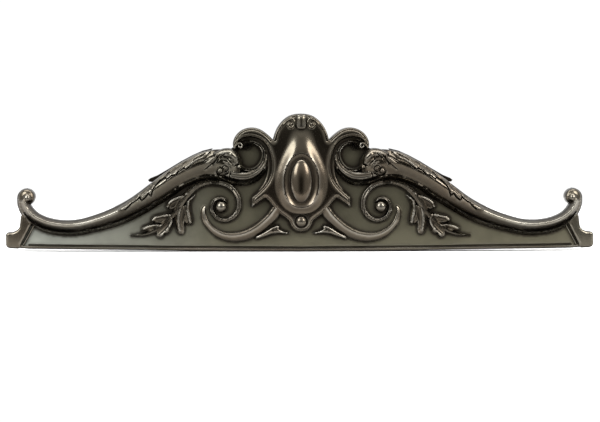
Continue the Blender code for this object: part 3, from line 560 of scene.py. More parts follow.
SCROLL_LEAF_EDGE = [
    (181.5, 37.4), (174.5, 39.4), (171, 42.5), (168.5, 45.5), (162, 49.5), (160, 52.5),
    (158.4, 48.2), (155, 51), (151.4, 55.8), (148.8, 52.6), (147.3, 58.5), (145, 63), (140, 68),
    (134.6, 71.6), (133.4, 69.6), (128.5, 73.6), (124.6, 73.6), (122, 77), (116, 81), (114.6, 79),
    (109.5, 83.6), (102.5, 88.4), (96, 91.6),
]
SCROLL_LEAF_TOP = [
    (88, 99), (98, 96.6), (108, 92.2), (120, 85.8), (132, 78.4), (143, 72), (150.4, 69),
    (152.6, 67.2), (151.4, 65.6), (147.5, 65.6), (150, 62.6), (156, 58.2), (166, 51), (176, 43.4),
    (181.5, 39.6),
]


def scroll_leaf():
    """The thin leaf that lies along the top of the scroll, its lower edge cut into lobes."""
    edge = straight(SCROLL_LEAF_EDGE, LOBE_STEP)
    ring = np.vstack([edge, straight(SCROLL_LEAF_TOP, LOBE_STEP)])

    def height(points):
        near = unit(nearest(points, edge)[0] / SCROLL_LEAF_REACH)
        return SCROLL_LEAF_THICKNESS * (0.55 + 0.45 * np.sqrt(near * (2.0 - near)))

    return form(ring, height, how="on top")


def head():
    """The hooded brow, the snout and the cheek at the inner end of the scroll."""
    brow_spine = [(84, 92.6, 3.4), (76, 94.6, 4.4), (69.6, 93.8, 4.8), (65.4, 90.2, 4.2), (64, 86, 3.0)]
    brow = strap(brow_spine, [(-1, 0.72), (-0.3, 1.0), (0.4, 0.96), (1, 0.66)], HEAD_RISE * 1.1,
                 marks=(-0.3, 0.5), taper=[(0, 0.9), (0.6, 1.0), (1, 0.86)])
    snout = dome(61.6, 81.4, 2.6, 2.6, HEAD_RISE * 0.5, HEAD_RISE * 0.86, rings=(0.6,))
    cheek = dome(80.4, 77.6, 3.0, 2.8, HEAD_RISE * 0.8, HEAD_RISE, rings=(0.6,))
    return [brow, snout, cheek]


JAW_SPINE = [
    (74, 74, 3.2), (67, 72.6, 4.2), (59.3, 71.6, 4.7), (52, 72.2, 4.3), (45.6, 75, 3.7),
    (40, 79.3, 3.0), (36.2, 85, 2.3), (34.8, 91.5, 1.6), (35.2, 97, 0.8),
]
CURL_SPINE = [
    (60, 82.4, 0.9), (58.5, 80.4, 1.2), (55, 78.6, 1.5), (50.5, 78, 1.6), (45.5, 79.6, 1.7),
    (40.7, 84, 1.7), (37.8, 90.5, 1.7), (37.8, 97.2, 1.7), (41, 102.2, 1.6), (45.5, 104.9, 1.5),
    (50.5, 105.7, 1.4), (54, 104.7, 1.3), (55.8, 102.5, 1.2), (54.6, 100.3, 1.1),
    (52.4, 100.2, 1.0), (51.6, 101.9, 0.8),
]


def jaw():
    """The fleshy band that leaves the head, tapers and turns up outside the curl."""
    profile = [(-1, 0.72), (-0.7, 1.0), (-0.35, 0.8), (0.2, 0.94), (0.6, 0.84), (1, 0.42)]
    return strap(JAW_SPINE, profile, JAW_RISE, marks=(-0.7, -0.3, 0.45),
                 taper=[(0, 1), (0.6, 0.9), (1, 0.5)])


def curl():
    """The thin ring with two rims that runs round as a C and winds up at its end."""
    profile = [(-1, 0.8), (-0.62, 1.0), (0, 0.74), (0.62, 1.0), (1, 0.8)]
    return strap(CURL_SPINE, profile, CURL_RISE, marks=(-0.62, 0, 0.62))


EAR_INNER = [
    (66, 99.6), (64.4, 103), (62.6, 106.4), (58.7, 109.6), (52, 111.2), (45, 110.2), (38.8, 107.2),
    (34, 102), (31.4, 95.6), (29.7, 88.5), (29.4, 80.5), (30.9, 72.6), (35, 64.4), (40, 58.6),
    (48.6, 50.8),
]
EAR_OUTER = [
    (28, 107.8), (30.6, 110.6), (35, 114.4), (40.5, 118), (47, 119.8), (53, 119.5), (59.5, 117),
    (64.3, 112.6), (67, 107.4), (67.6, 102.2), (66.9, 99.8),
]
CROWN = [
    (0, 133.8), (5.5, 133.4), (12, 131.4), (18.2, 126.8), (23.2, 120.2), (26.2, 113.4), (27.6, 108),
]
TAIL = [(21, 34), (16, 30.4), (11.8, 26.6), (9.8, 21.8), (6, 18), (0.5, 16.4), (-4, 16.8)]


def cartouche_ring():
    """The shield's outline, from the crown down to the tail."""
    arm = straight([(49, 50.5), (49, 41.2), (35.5, 50.2), (31.8, 46.8), (28.2, 41.8), (21.4, 34.4)])
    middle = straight([(-8, 17), (-8, TOP_STEP)])
    return np.vstack([curve(CROWN), curve(EAR_OUTER), curve(EAR_INNER), arm, curve(TAIL), middle])


def cartouche():
    """The central shield with its crown, its two ears and its tail."""
    return pillow(cartouche_ring(), CARTOUCHE_EDGE, CARTOUCHE_RISE, 6.0, rings=(0.3, 1.0))


def ear_step():
    """The lower step that follows the inner edge of each ear."""
    spine = [(out + 1.6, up - 1.4, wide) for (out, up), wide in zip(EAR_INNER[2:-1], EAR_STEP_WIDTHS)]
    return strap(spine, [(-1, 0.8), (0, 1.0), (1, 0.8)], STEP_RISE)


def ear_curl():
    """The small curl in which each ear's edge ends."""
    spine = [(66.2, 99.9, 1.1), (64.5, 102.9, 1.2), (62, 104.6, 1.2), (59.4, 104, 1.2),
             (58.6, 101.9, 1.1), (60, 100.4, 1.1), (61.8, 101, 1.0), (61.9, 102.4, 0.9)]
    return strap(spine, [(-1, 0.85), (0, 1.0), (1, 0.85)], CARTOUCHE_RISE * 0.92)


def crown_roll():
    """The roll inside the crown's edge, which curls in at its top."""
    spine = [(26.6, 108.2, 0.7), (25.4, 111.8, 0.9), (23.8, 116, 1.0), (20.8, 121, 1.1),
             (16.4, 126, 1.2), (12.4, 128.8, 1.3), (9.2, 129, 1.4), (7.2, 126.6, 1.4),
             (6.9, 123, 1.4), (8.6, 120.2, 1.4), (11.2, 119.8, 1.3), (12.6, 121.9, 1.2),
             (11.5, 124.2, 1.1), (9.8, 123.9, 1.0)]
    return strap(spine, [(-1, 0.8), (0, 1.0), (1, 0.8)], CROWN_ROLL_RISE, base=CARTOUCHE_RISE)


BULGE_SIDE = [
    (0, 122.6), (6, 122.2), (11, 118.4), (13.4, 112), (15.4, 104.4), (19, 95), (23, 85), (26, 75),
    (27, 66), (26.2, 57), (23.4, 48.4), (19, 41.4), (12, 36.2), (5, 34.2), (0, 34),
]


def bulge():
    """The swell of the shield: narrow and low at its neck, widest and highest round the boss."""
    side = curve(BULGE_SIDE)
    ring = np.vstack([side, straight([(-6, 34), (-6, 122.6)])[1:-1]])

    def height(points):
        near = unit(nearest(points, ring[:len(side)])[0] / BULGE_REACH)
        swell = 0.5 - 0.5 * np.cos(math.pi * near)
        neck = unit((points[:, 1] - BULGE_FALL[0]) / (BULGE_FALL[1] - BULGE_FALL[0]))
        fall = 1.0 - (1.0 - NECK_SHARE) * neck * neck * (3.0 - 2.0 * neck)
        return plate(points) + CARTOUCHE_RISE + BULGE_RISE * swell * fall

    rows = [straight([(0.2, up), (BULGE_REACH, up)]) for up in BULGE_ROWS]
    return form(ring, height, inner_lines(ring, BULGE_REACH, (0.35, 0.8)) + rows)


def keystone():
    """The round nose between the crown's curls, which runs on over the crown's edge."""
    side = curve([(4.6, 132.6), (4.4, 128.6), (5.2, 124.6), (4.8, 121.2), (2.8, 118.8), (0, 118),
                  (-3, 118.8)])
    ring = np.vstack([side, straight([(-6, 122), (-6, 132.6)])])

    def height(points):
        near = unit(np.abs(points[:, 0]) / KEYSTONE_HALF)
        low = unit((points[:, 1] - KEYSTONE_FOOT) / KEYSTONE_REACH)
        high = unit((TOP_STEP + 0.6 - points[:, 1]) / KEYSTONE_REACH)
        rounding = np.sqrt((1.0 - near ** 2) * low * (2 - low) * high * (2 - high))
        return plate(points) + CARTOUCHE_RISE + (KEYSTONE_RISE - CARTOUCHE_RISE) * rounding

    return form(ring, height, [straight([(out, 120), (out, 131.6)], 2.0) for out in (0.4, 3.0)])


def recess():
    """The hollow ring round the oval boss."""
    half_out, half_up = RECESS_WIDTH / STEP_X / 2, RECESS_HEIGHT / STEP_Z / 2
    centre = ORIGIN_STEP - 0.6

    def height(points):
        far = np.hypot(points[:, 0] / half_out, (points[:, 1] - centre) / half_up)
        return plate(points) + RECESS_RISE + RECESS_COVE * unit((far - 0.72) / 0.28) ** 2

    return form(oval(0, centre, half_out, half_up), height, how="down to")


def cabochon():
    """The oval boss."""
    half_out, half_up = CABOCHON_WIDTH / STEP_X / 2, CABOCHON_HEIGHT / STEP_Z / 2
    return dome(0, ORIGIN_STEP, half_out, half_up, RECESS_RISE + 0.0012, CABOCHON_RISE,
                rings=(0.88, 0.55))


def tail_boss():
    """The round boss in the tail, in its own shallow ring."""
    half = BOSS_DIAMETER / STEP_X / 2
    sunk = form(oval(0, 26.6, half + 1.2, half + 1.2), lambda points: plate(points) + BOSS_GROOVE_RISE,
                how="down to")
    return [sunk, dome(0, 26.6, half, half, BOSS_GROOVE_RISE + 0.0008, BOSS_RISE)]


CRESCENT_SPINE = [
    (24.2, 38, 5.2), (29.5, 31, 5.0), (35.5, 25, 4.9), (43.5, 18.7, 4.8), (52, 14, 4.8),
    (60.6, 11.4, 4.6), (69.4, 10.8, 4.2), (77.6, 12.2, 3.7), (85.2, 16, 3.3), (91.4, 21.6, 2.8),
    (95.6, 28, 2.9), (97.2, 34.2, 2.6), (96.8, 38.8, 2.0), (95.8, 41.6, 1.2),
]


def crescent():
    """The band that leaves the shield, with a ledge inside its crest, and runs out to a point."""
    profile = [(-1, 0.50), (-0.7, 0.66), (0.0, 0.86), (0.42, 0.99), (0.5, 1.0), (0.56, 0.72),
               (0.62, 0.58), (0.8, 0.55), (1, 0.46)]
    return strap(CRESCENT_SPINE, profile, CRESCENT_RISE, marks=(-0.6, 0.49, 0.6),
                 taper=[(0, 1.0), (0.25, 0.84), (0.6, 0.62), (0.85, 0.5), (1, 0.3)])


def feather():
    """The small two-pointed leaf that lies over the crescent's outer edge."""
    ring = [(45, 11.6), (36, 16.6), (29.5, 20.8), (24, 22.8), (21.2, 22.2), (22.2, 19.4), (18.2, 17.2),
            (11.5, 15), (14.8, 14.4), (21.5, 15), (29.5, 14), (36, 11.6), (45, 9)]
    crease = straight([(40, 12.4), (30, 17), (22.5, 18.6)])
    shape = pillow(straight_ring(ring), FEATHER_RISE * 0.55, FEATHER_RISE, 1.8)
    shape["lines"].append(crease)
    return shape


LEAF_SPINE = [
    (82, 66, 2.3), (90, 66, 2.6), (98.5, 64.2, 2.9), (106, 60.6, 3.4), (112.6, 54.6, 3.7),
    (118.2, 46.4, 3.5), (123.4, 38.6, 3.1), (128.6, 32, 2.8), (134.2, 26.4, 2.5), (140, 21.4, 2.3),
    (146.6, 17.2, 2.2), (153.8, 14.4, 1.9), (162, 12.9, 1.3), (170, 12.6, 0.3),
]
LEAF_LOBES = [
    [(113, 55), (121, 52.6), (127, 50), (132, 46.4), (134.6, 42.4), (133.4, 39.6), (129.5, 38.6),
     (125.5, 40), (120, 43)],
    [(126.4, 35.4), (134.5, 34.8), (141, 33), (146.6, 31.4), (148.9, 28.2), (147.2, 25.6), (143, 25),
     (137, 25.2), (131, 28)],
    [(137, 24.4), (141, 24), (146, 24.4), (151, 23.4), (155.4, 21.6), (158.8, 19.4), (156.4, 17.6),
     (152, 17), (145, 17.4)],
    [(128.6, 32), (127.2, 27), (129.4, 21), (131.6, 15.4), (133.8, 14), (135.8, 15.4), (137.4, 11.6),
     (140.6, 9.8), (143, 11.8), (143.6, 17), (137, 24)],
    [(124.6, 37), (125.5, 28.5), (124.6, 21.6), (123.4, 16.6), (120.6, 13.6), (117.6, 14),
     (116.1, 18.5), (116.4, 24), (115.4, 29), (113.4, 36), (113, 44)],
    [(114, 46), (115.2, 38), (115.4, 31.6), (116, 27.6), (113.8, 24.4), (111, 23.3), (108.2, 25),
     (108, 29.5), (109.5, 35), (110.4, 41), (109, 47), (104.5, 54)],
]
LEAF_RIBS = [
    [(114, 52.6), (121, 51), (127.6, 48), (131.6, 44.4), (132.6, 41.6)],
    [(129, 33.2), (139, 32), (145, 30.4), (147.4, 28.2)],
    [(139, 22.6), (146, 22.8), (151.6, 21.8), (156.6, 19.6)],
    [(128.5, 32), (129.6, 24.5), (133.4, 18.6), (139.2, 13)],
    [(118.5, 43.5), (121.2, 36), (122, 28.6), (120.6, 18)],
    [(109, 54.5), (112.4, 46), (112.8, 38.4), (111.2, 31), (110.4, 26)],
]


def leaf_lobe(outline, rib):
    """One lobe of the leaf: hollow, with a round edge and a rib that catches the light."""
    side, crown = curve(outline), curve(rib)
    ring = np.vstack([side, straight([outline[-1], outline[0]])[1:-1]])

    def height(points):
        rim = unit(nearest(points, side)[0] / LOBE_RIM)
        off = nearest(points, crown)[0] / LOBE_RIB
        share = 0.44 + 0.12 * np.sqrt(rim * (2.0 - rim)) + 0.44 * np.exp(-off ** 2)
        return plate(points) + LEAF_RISE * share

    return form(ring, height, [crown])


def leaf():
    """The acanthus leaf: six lobes and the stem that lies over them."""
    profile = [(-1, 0.5), (-0.6, 0.64), (-0.15, 0.7), (0.12, 0.98), (0.3, 1.0), (0.5, 0.78), (1, 0.46)]
    stem = strap(LEAF_SPINE, profile, LEAF_RISE * 1.25, marks=(-0.15, 0.2),
                 taper=[(0, 0.75), (0.25, 0.95), (0.45, 1), (0.75, 0.85), (1, 0.4)])
    return [leaf_lobe(outline, rib) for outline, rib in zip(LEAF_LOBES, LEAF_RIBS)] + [stem]


SPIRAL_SPINE = [
    (89, 65.6, 2.5), (83, 65.6, 2.6), (76.5, 64.2, 2.7), (70.2, 61, 2.7), (65.2, 55.6, 2.7),
    (62.2, 49.2, 2.7), (61.6, 42.6, 2.7), (63.6, 36, 2.6), (68, 30.8, 2.5), (74.2, 28, 2.4),
    (80.8, 28.8, 2.3), (86.2, 32.6, 2.2), (88.8, 38.4, 2.1), (88.4, 44.2, 1.9), (85.4, 48.4, 1.7),
    (80.8, 49.9, 1.5), (76.4, 49, 1.3), (73.8, 46.4, 1.0),
]


def spiral():
    """The scroll that leaves the leaf's stem and winds in to a round boss."""
    half = SPIRAL_BOSS_DIAMETER / STEP_X / 2
    profile = [(-1, 0.5), (-0.6, 0.92), (-0.1, 0.8), (0.5, 1.0), (1, 0.6)]
    band = strap(SPIRAL_SPINE, profile, SPIRAL_RISE, marks=(-0.6, -0.1, 0.5),
                 taper=[(0, 1.2), (0.2, 1), (1, 0.9)])
    return [band, dome(79.6, 41.4, half, half, SPIRAL_BOSS_RISE * 0.3, SPIRAL_BOSS_RISE)]


def forms():
    """Every form in the order that it is laid on the plate."""
    ends = [field()] + lip() + [end_block(), end_bead(), scroll_bead(), scroll_body()] + volute()
    bird = [jaw()] + head() + [scroll_leaf(), ear_step(), curl()]
    shield = [cartouche(), ear_curl(), crescent(), bulge(), crown_roll(), keystone()]
    shield += [recess(), cabochon()]
    return ends + bird + shield + tail_boss() + [feather()] + leaf() + spiral()


def buried(line, own, shapes):
    """Which points of a form's line lie well under another form, where nothing of it shows."""
    under = np.zeros(len(line), bool)
    shape = shapes[own]
    if shape["how"] != "over":
        return under
    top = shape["height"](line)
    for place, other in enumerate(shapes):
        cuts = [cut for cut in shapes[place:own] if cut["how"] == "down to"]
        open_here = [inside(line, cut["crest"]) for cut in cuts]
        rows = np.flatnonzero(inside(line, other["crest"]) & ~np.any(open_here or [under], axis=0))
        if other is shape or other["how"] != "over" or len(rows) == 0:
            continue
        deep = nearest(line[rows], other["crest"], closed=True)[0] > BURIED_DEPTH
        under[rows[deep & (other["height"](line[rows]) > top[rows] + BURIED_DROP)]] = True
    return under


def clip_half(start, end):
    """The part of a piece of line that is on the drawn half, or nothing."""
    if start[0] < 0 and end[0] < 0:
        return None
    if start[0] < 0 or end[0] < 0:
        u = start[0] / (start[0] - end[0])
        middle = start + (end - start) * u
        middle[0] = 0.0
        return (middle, end) if start[0] < 0 else (start, middle)
    return start, end


def grid_points(shapes, gap, fixed):
    """Points on a staggered grid over the forms, clear of the points on lines."""
    tree = KDTree(len(fixed))
    for index, point in enumerate(fixed):
        tree.insert((point[0], point[1], 0.0), index)
    tree.balance()
    rows = np.arange(LOW_STEP + gap / 2, TOP_STEP, gap * ROW_SHARE)
    raw = np.array([(out + (row % 2) * gap / 2, up) for row, up in enumerate(rows)
                    for out in np.arange(gap / 2, HALF_STEPS, gap)])
    covered = np.zeros(len(raw), bool)
    for shape in shapes:
        covered |= inside(raw, shape["crest"])
    raw = raw[covered]
    return [point for point in raw if tree.find((point[0], point[1], 0.0))[2] > gap * GRID_CLEARANCE]


def triangulate(shapes, gap):
    """Cut the drawn half into triangles that keep every outline and line."""
    points, edges = [], []

    def add_line(line, own):
        under = buried(line, own, shapes)
        for start, end, hidden in zip(line[:-1], line[1:], under[:-1] & under[1:]):
            part = clip_half(start.copy(), end.copy())
            if part is not None and not hidden:
                edges.append((len(points), len(points) + 1))
                points.extend(part)

    for own, shape in enumerate(shapes):
        for ring in (shape["crest"], shape["foot"]):
            add_line(np.vstack([ring, ring[:1]]), own)
        for line in shape["lines"]:
            add_line(line, own)
    seam = straight([(0.0, LOW_STEP - 2.0), (0.0, TOP_STEP + 2.0)], gap)
    edges.extend((len(points) + step, len(points) + step + 1) for step in range(len(seam) - 1))
    points.extend(seam)
    points.extend(grid_points(shapes, gap, points))
    done = delaunay_2d_cdt([Vector(point) for point in points], edges, [], 0, MERGE)
    flat = np.array([tuple(point) for point in done[0]])
    flat[np.abs(flat[:, 0]) < MERGE, 0] = 0.0
    triangles = np.array([face for face in done[2] if len(face) == 3])
    return flat, triangles


LAYING = {"over": np.maximum, "down to": np.minimum, "on top": np.add}


def lay_forms(shapes, flat, triangles):
    """The height of every point once each form in turn is laid over, put on or cut down."""
    middle = flat[triangles].mean(axis=1)
    height = np.zeros(len(flat))
    for shape in shapes:
        use = np.unique(triangles[inside(middle, shape["crest"])])
        if len(use) == 0:
            continue
        height[use] = LAYING[shape["how"]](height[use], shape["height"](flat[use]))
    return height


def keep_solid(shapes, flat, triangles, height):
    """The triangles inside a form or its walls; the points on their border lie on the back."""
    middle = flat[triangles].mean(axis=1)
    held = np.zeros(len(middle), bool)
    for shape in shapes:
        held |= inside(middle, shape["crest"]) | inside(middle, shape["foot"])
    kept = triangles[held & (middle[:, 0] > 0)]
    border = edge_loops(kept)
    outer = border[(flat[border, 0] > 0).any(axis=1)]
    height[np.unique(outer)] = 0.0
    return kept


def edge_loops(triangles):
    """The edges that only one triangle uses."""
    sides = np.vstack([triangles[:, ends] for ends in ([0, 1], [1, 2], [2, 0])])
    pairs = np.sort(sides, axis=1)
    unique, count = np.unique(pairs, axis=0, return_counts=True)
    return unique[count == 1]


def close_back(places, border):
    """Triangles of the flat back inside the border's loops."""
    used = np.unique(border)
    index = {int(old): new for new, old in enumerate(used)}
    links = [(index[int(a)], index[int(b)]) for a, b in border]
    spots = places[used]
    done = delaunay_2d_cdt([Vector(spot) for spot in spots], links, [], 1, 1e-7)
    back = np.array([face for face in done[2] if len(face) == 3])
    source = [origin[0] for origin in done[3]]
    middle = np.array([tuple(spot) for spot in done[0]])[back].mean(axis=1)
    ends = spots[np.array(links)]
    held = enclosed(middle, ends[:, 0], ends[:, 1])
    return used[np.array(source)[back[held]]][:, ::-1]


def whole_solid(flat, triangles, height):
    """Mirror the half, close the flat back, and give places in metres and triangles."""
    ids = np.arange(len(flat))
    mirrored = np.where(flat[:, 0] == 0.0, ids, ids + len(flat))
    other = mirrored[triangles][:, ::-1]
    both = np.vstack([flat, flat * (-1.0, 1.0)]) * (STEP_X, STEP_Z) - (0.0, ORIGIN_STEP * STEP_Z)
    front = np.vstack([triangles, other])
    back = close_back(both, edge_loops(front))
    tall = np.concatenate([height, height])
    places = np.stack([both[:, 0], -tall, both[:, 1]], axis=1)
    faces = np.vstack([front, back])
    used, faces = np.unique(faces, return_inverse=True)
    return places[used], faces.reshape(-1, 3)


def smoothed(values, pairs, rounds):
    """Values averaged with their neighbours along the mesh edges, a number of times."""
    count = np.bincount(pairs.ravel(), minlength=len(values)) + 1.0
    for _ in range(rounds):
        total = values.copy()
        for one, other in (pairs.T, pairs.T[::-1]):
            total += np.bincount(one, weights=values[other], minlength=len(values))
        values = total / count
    return values


def write_shades(mesh, places):
    """Store, for each point of the front, how hollow and deep it lies, how far it stands proud, whether
    it is open plate, and how far it faces down; these drive patina, wear, painted shade and painted
    edge highlights.
    """
    pairs = np.empty(len(mesh.edges) * 2, dtype=np.int64)
    mesh.edges.foreach_get("vertices", pairs)
    pairs = pairs.reshape(-1, 2)
    tall = -places[:, 1]
    front = tall > FRONT_LEAST
    pairs = pairs[front[pairs].all(axis=1)]
    near, wide = smoothed(tall, pairs, NEAR_ROUNDS), smoothed(tall, pairs, WIDE_ROUNDS)
    turn = np.empty(len(places) * 3, dtype=np.float32)
    mesh.vertices.foreach_get("normal", turn)
    lean = -smoothed(turn[2::3].astype(float), pairs, TURN_ROUNDS)
    hollow = (unit((near - tall) / NEAR_HOLLOW[0]) * NEAR_HOLLOW[1]
              + unit((wide - tall) / WIDE_HOLLOW[0]) * WIDE_HOLLOW[1])
    wear_and_sheen = unit((tall - near - WEAR_AND_SHEEN_START) / WEAR_AND_SHEEN_SPAN)
    # The deep and under masks drive painted shade, hollow drives patina and painted shade, and the
    # rubbed-edge mask drives wear that also paints highlights
    shades = {
        "hollow": smoothed(hollow, pairs, 1),
        "deep": unit((smoothed(wide, pairs, DEEP_ROUNDS) - tall) / DEEP_HOLLOW),
        "wear_and_sheen": smoothed(wear_and_sheen, pairs, 1),
        "flat": np.exp(-((tall - plate(places[:, [0, 2]] / STEP_X)) / PLATE_SPAN) ** 2),
        "under": unit(lean / UNDERSIDE),
    }
    for name, values in shades.items():
        layer = mesh.attributes.new(name, "FLOAT", "POINT")
        layer.data.foreach_set("value", unit(values * front).astype(np.float32))


def node(tree, kind, values=None, **links):
    """A shader node with values on its sockets and links into them."""
    made = tree.nodes.new(kind)
    for name, value in (values or {}).items():
        if hasattr(made, name):
            setattr(made, name, value)
        else:
            made.inputs[name].default_value = value
    for name, source in links.items():
        tree.links.new(source, made.inputs[name.replace("_", " ")])
    return made


def feed(tree, socket, value):
    """Give a socket a plain number or colour, or link it to another socket."""
    if isinstance(value, (float, tuple)):
        socket.default_value = value
    else:
        tree.links.new(value, socket)


def blend(tree, share, first, second):
    """A colour between two."""
    mix = tree.nodes.new("ShaderNodeMix")
    mix.data_type = "RGBA"
    for place, value in (("Factor", share), (6, first), (7, second)):
        feed(tree, mix.inputs[place], value)
    return mix.outputs[2]


def math_node(tree, operation, first, second):
    """A sum or product of two values."""
    made = tree.nodes.new("ShaderNodeMath")
    made.operation = operation
    for place, value in enumerate((first, second)):
        feed(tree, made.inputs[place], value)
    return made.outputs[0]


def spread(tree, value, low, high, to_low, to_high):
    """A value carried from one range to another, and held at its ends."""
    numbers = {"From Min": low, "From Max": high, "To Min": to_low, "To Max": to_high}
    return node(tree, "ShaderNodeMapRange", numbers, Value=value).outputs[0]


def noise(tree, where, scale, detail=3.0):
    """Cloudy noise at each place."""
    sizes = {"Scale": scale, "Detail": detail}
    return node(tree, "ShaderNodeTexNoise", sizes, Vector=where).outputs[0]


def new_material(name, values):
    """A material with its shader's values set, and the shader."""
    material = bpy.data.materials.new(name)
    material.use_nodes = True
    surface = material.node_tree.nodes["Principled BSDF"]
    for key, value in values.items():
        surface.inputs[key].default_value = value
    return material, surface


def metal_material():
    """Dark bronze: brown to green grey, with patina and painted shade in the hollows, painted shade on
    undersides, edges rubbed bright with painted highlight lines, and a painted sheen at the plate's
    left end.
    """
    material, surface = new_material("dark_bronze_painted_shade_and_sheen", {"Metallic": 1.0})
    tree = material.node_tree
    where = tree.nodes.new("ShaderNodeTexCoord").outputs["Object"]
    layers = {name: node(tree, "ShaderNodeAttribute", {"attribute_name": name}).outputs["Fac"]
              for name in ("hollow", "deep", "wear_and_sheen", "flat", "under")}
    patch = noise(tree, where, PATCH_SCALE, 4.0)
    colour = metal_colour(tree, where, layers, patch)
    tree.links.new(colour, surface.inputs["Base Color"])
    rough = spread(tree, noise(tree, where, POLISH_SCALE, 5.0), 0.3, 0.7, *POLISH)
    for name, low, most in (("hollow", 0.0, HOLLOW_ROUGHNESS), ("flat", 0.5, PLATE_ROUGHNESS)):
        rough = math_node(tree, "ADD", rough, spread(tree, layers[name], low, 1.0, 0.0, most))
    tree.links.new(rough, surface.inputs["Roughness"])
    grain = math_node(tree, "MULTIPLY", noise(tree, where, GRAIN_SCALE, 2.0),
                      spread(tree, layers["flat"], 0.6, 1.0, *GRAIN_SHARES))
    waves = math_node(tree, "MULTIPLY", noise(tree, where, PATCH_SCALE, 2.0), WAVE_SHARE)
    bump = node(tree, "ShaderNodeBump", {"Strength": BUMP_STRENGTH, "Distance": BUMP_HEIGHT},
                Height=math_node(tree, "ADD", grain, waves))
    tree.links.new(bump.outputs[0], surface.inputs["Normal"])
    return material


def metal_colour(tree, where, layers, patch):
    """The metal's colour: clouds of two bronzes, a painted sheen towards the plate's left end, patina
    patches, painted shade in deep hollows and on undersides, patina and painted shade in the hollows,
    and rubbed edges that also paint highlight lines.
    """
    cloud = spread(tree, noise(tree, where, CLOUD_SCALE), 0.35, 0.65, 0.0, 1.0)
    parts = node(tree, "ShaderNodeSeparateXYZ", Vector=where)
    # Painted sheen: the open plate turns pale towards its left end, as a light's reflection would make
    # it
    aside = spread(tree, parts.outputs["X"], *LEFT_SHEEN_BAND, LEFT_SHEEN_SHARE, 0.0)
    colour = blend(tree, cloud, GREEN_METAL, BROWN_METAL)
    open_field = spread(tree, layers["flat"], 0.55, 0.95, 0.0, 1.0)
    colour = blend(tree, open_field, colour, blend(tree, aside, FIELD_METAL, PAINTED_LEFT_SHEEN))
    colour = blend(tree, spread(tree, patch, 0.45, 0.75, 0.0, PATCH_SHARE), colour, PATINA_AND_PAINTED_SHADE)
    # Painted shade: darker deep inside enclosed hollows
    colour = blend(tree, spread(tree, layers["deep"], 0.1, 1.0, 0.0, DEEP_SHADE_SHARE), colour, PATINA_AND_PAINTED_SHADE)
    # Rubbed metal on the raised edges, which also paints highlight lines along them
    rub_and_sheen = math_node(tree, "MULTIPLY", layers["wear_and_sheen"], spread(tree, patch, 0.3, 0.6, *WEAR_AND_SHEEN_SHARES))
    colour = blend(tree, rub_and_sheen, colour, WORN_METAL_AND_SHEEN)
    # Painted shade: darker where the surface faces downwards
    painted_underside_shade = spread(tree, layers["under"], 0.1, 1.0, 0.0, UNDERSIDE_SHADE_SHARE)
    colour = blend(tree, painted_underside_shade, colour, PATINA_AND_PAINTED_SHADE)
    # Dark patina and painted shade in the hollows
    patina_and_shade = math_node(tree, "MULTIPLY", layers["hollow"], spread(tree, patch, 0.3, 0.7, *HOLLOW_PATINA_AND_SHADE_SHARES))
    return blend(tree, patina_and_shade, colour, PATINA_AND_PAINTED_SHADE)


def soft_edge(shape):
    """The same form with its upper edges rounded over, and lines that hold the rounding."""
    if shape["how"] != "over" or shape["height"] is plate:
        return shape
    crest, full = shape["crest"], shape["height"]

    def height(points):
        near = unit(nearest(points, crest, closed=True)[0] / EDGE_REACH)
        return full(points) - EDGE_ROUND * (1.0 - np.sqrt(near * (2.0 - near)))

    lines = shape["lines"] + inner_lines(crest, EDGE_REACH, EDGE_LINES)
    return dict(shape, height=height, lines=lines)


def added(shape):
    """The same form, added to whatever is there instead of standing on the plate."""
    full = shape["height"]
    return dict(shape, height=lambda points: full(points) - plate(points), how="on top")


def groove(spine, depth):
    """A rounded line cut into whatever is there; a negative depth makes it a raised one."""
    return added(strap(spine, [(-1, 0.0), (0, 1.0), (1, 0.0)], -depth, marks=(0,)))


def bump_on(out, up, half, rise):
    """A small round swelling on whatever is there."""
    return added(dome(out, up, half, half, 0.0, rise))


def corner_groove(corners, half, depth):
    """A groove that keeps the sharp corners of its line."""
    line = straight(corners)
    sides = normals(line) * half
    ring = np.vstack([line + sides, (line - sides)[::-1]])

    def height(points):
        return -depth * unit(1.0 - nearest(points, line)[0] / half)

    return form(ring, height, [line], how="on top")


def rim_lines():
    """The fine line cut just inside the shield's outline."""
    inner = split_jumps(offset(cartouche_ring(), -RIM_GAP))
    return [corner_groove(piece, RIM_HALF, RIM_DEPTH) for piece in inner]


def head_details():
    """Flutes on the neck, the crease under the brow, the eye, the cheek and the nostril."""
    return ([groove(spine, FLUTE_DEPTH) for spine in FLUTES + CREASES]
            + [groove(spine, -FLUTE_RISE) for spine in RIDGES]
            + [bump_on(out, up, half, FLUTE_RISE * share) for out, up, half, share in HEAD_BUMPS])


def scroll_leaf_details():
    """The veins that run up the scroll leaf, and the cut along its lobed edge."""
    cut = [(out, up - LEAF_CUT_DROP) for out, up in SCROLL_LEAF_EDGE[1:-2]]
    return ([groove(spine, VEIN_DEPTH) for spine in VEINS]
            + [corner_groove(cut, LEAF_CUT_HALF, LEAF_CUT_DEPTH)])


def placed(name, data):
    """A new object in the scene."""
    made = bpy.data.objects.new(name, data)
    bpy.context.scene.collection.objects.link(made)
    return made


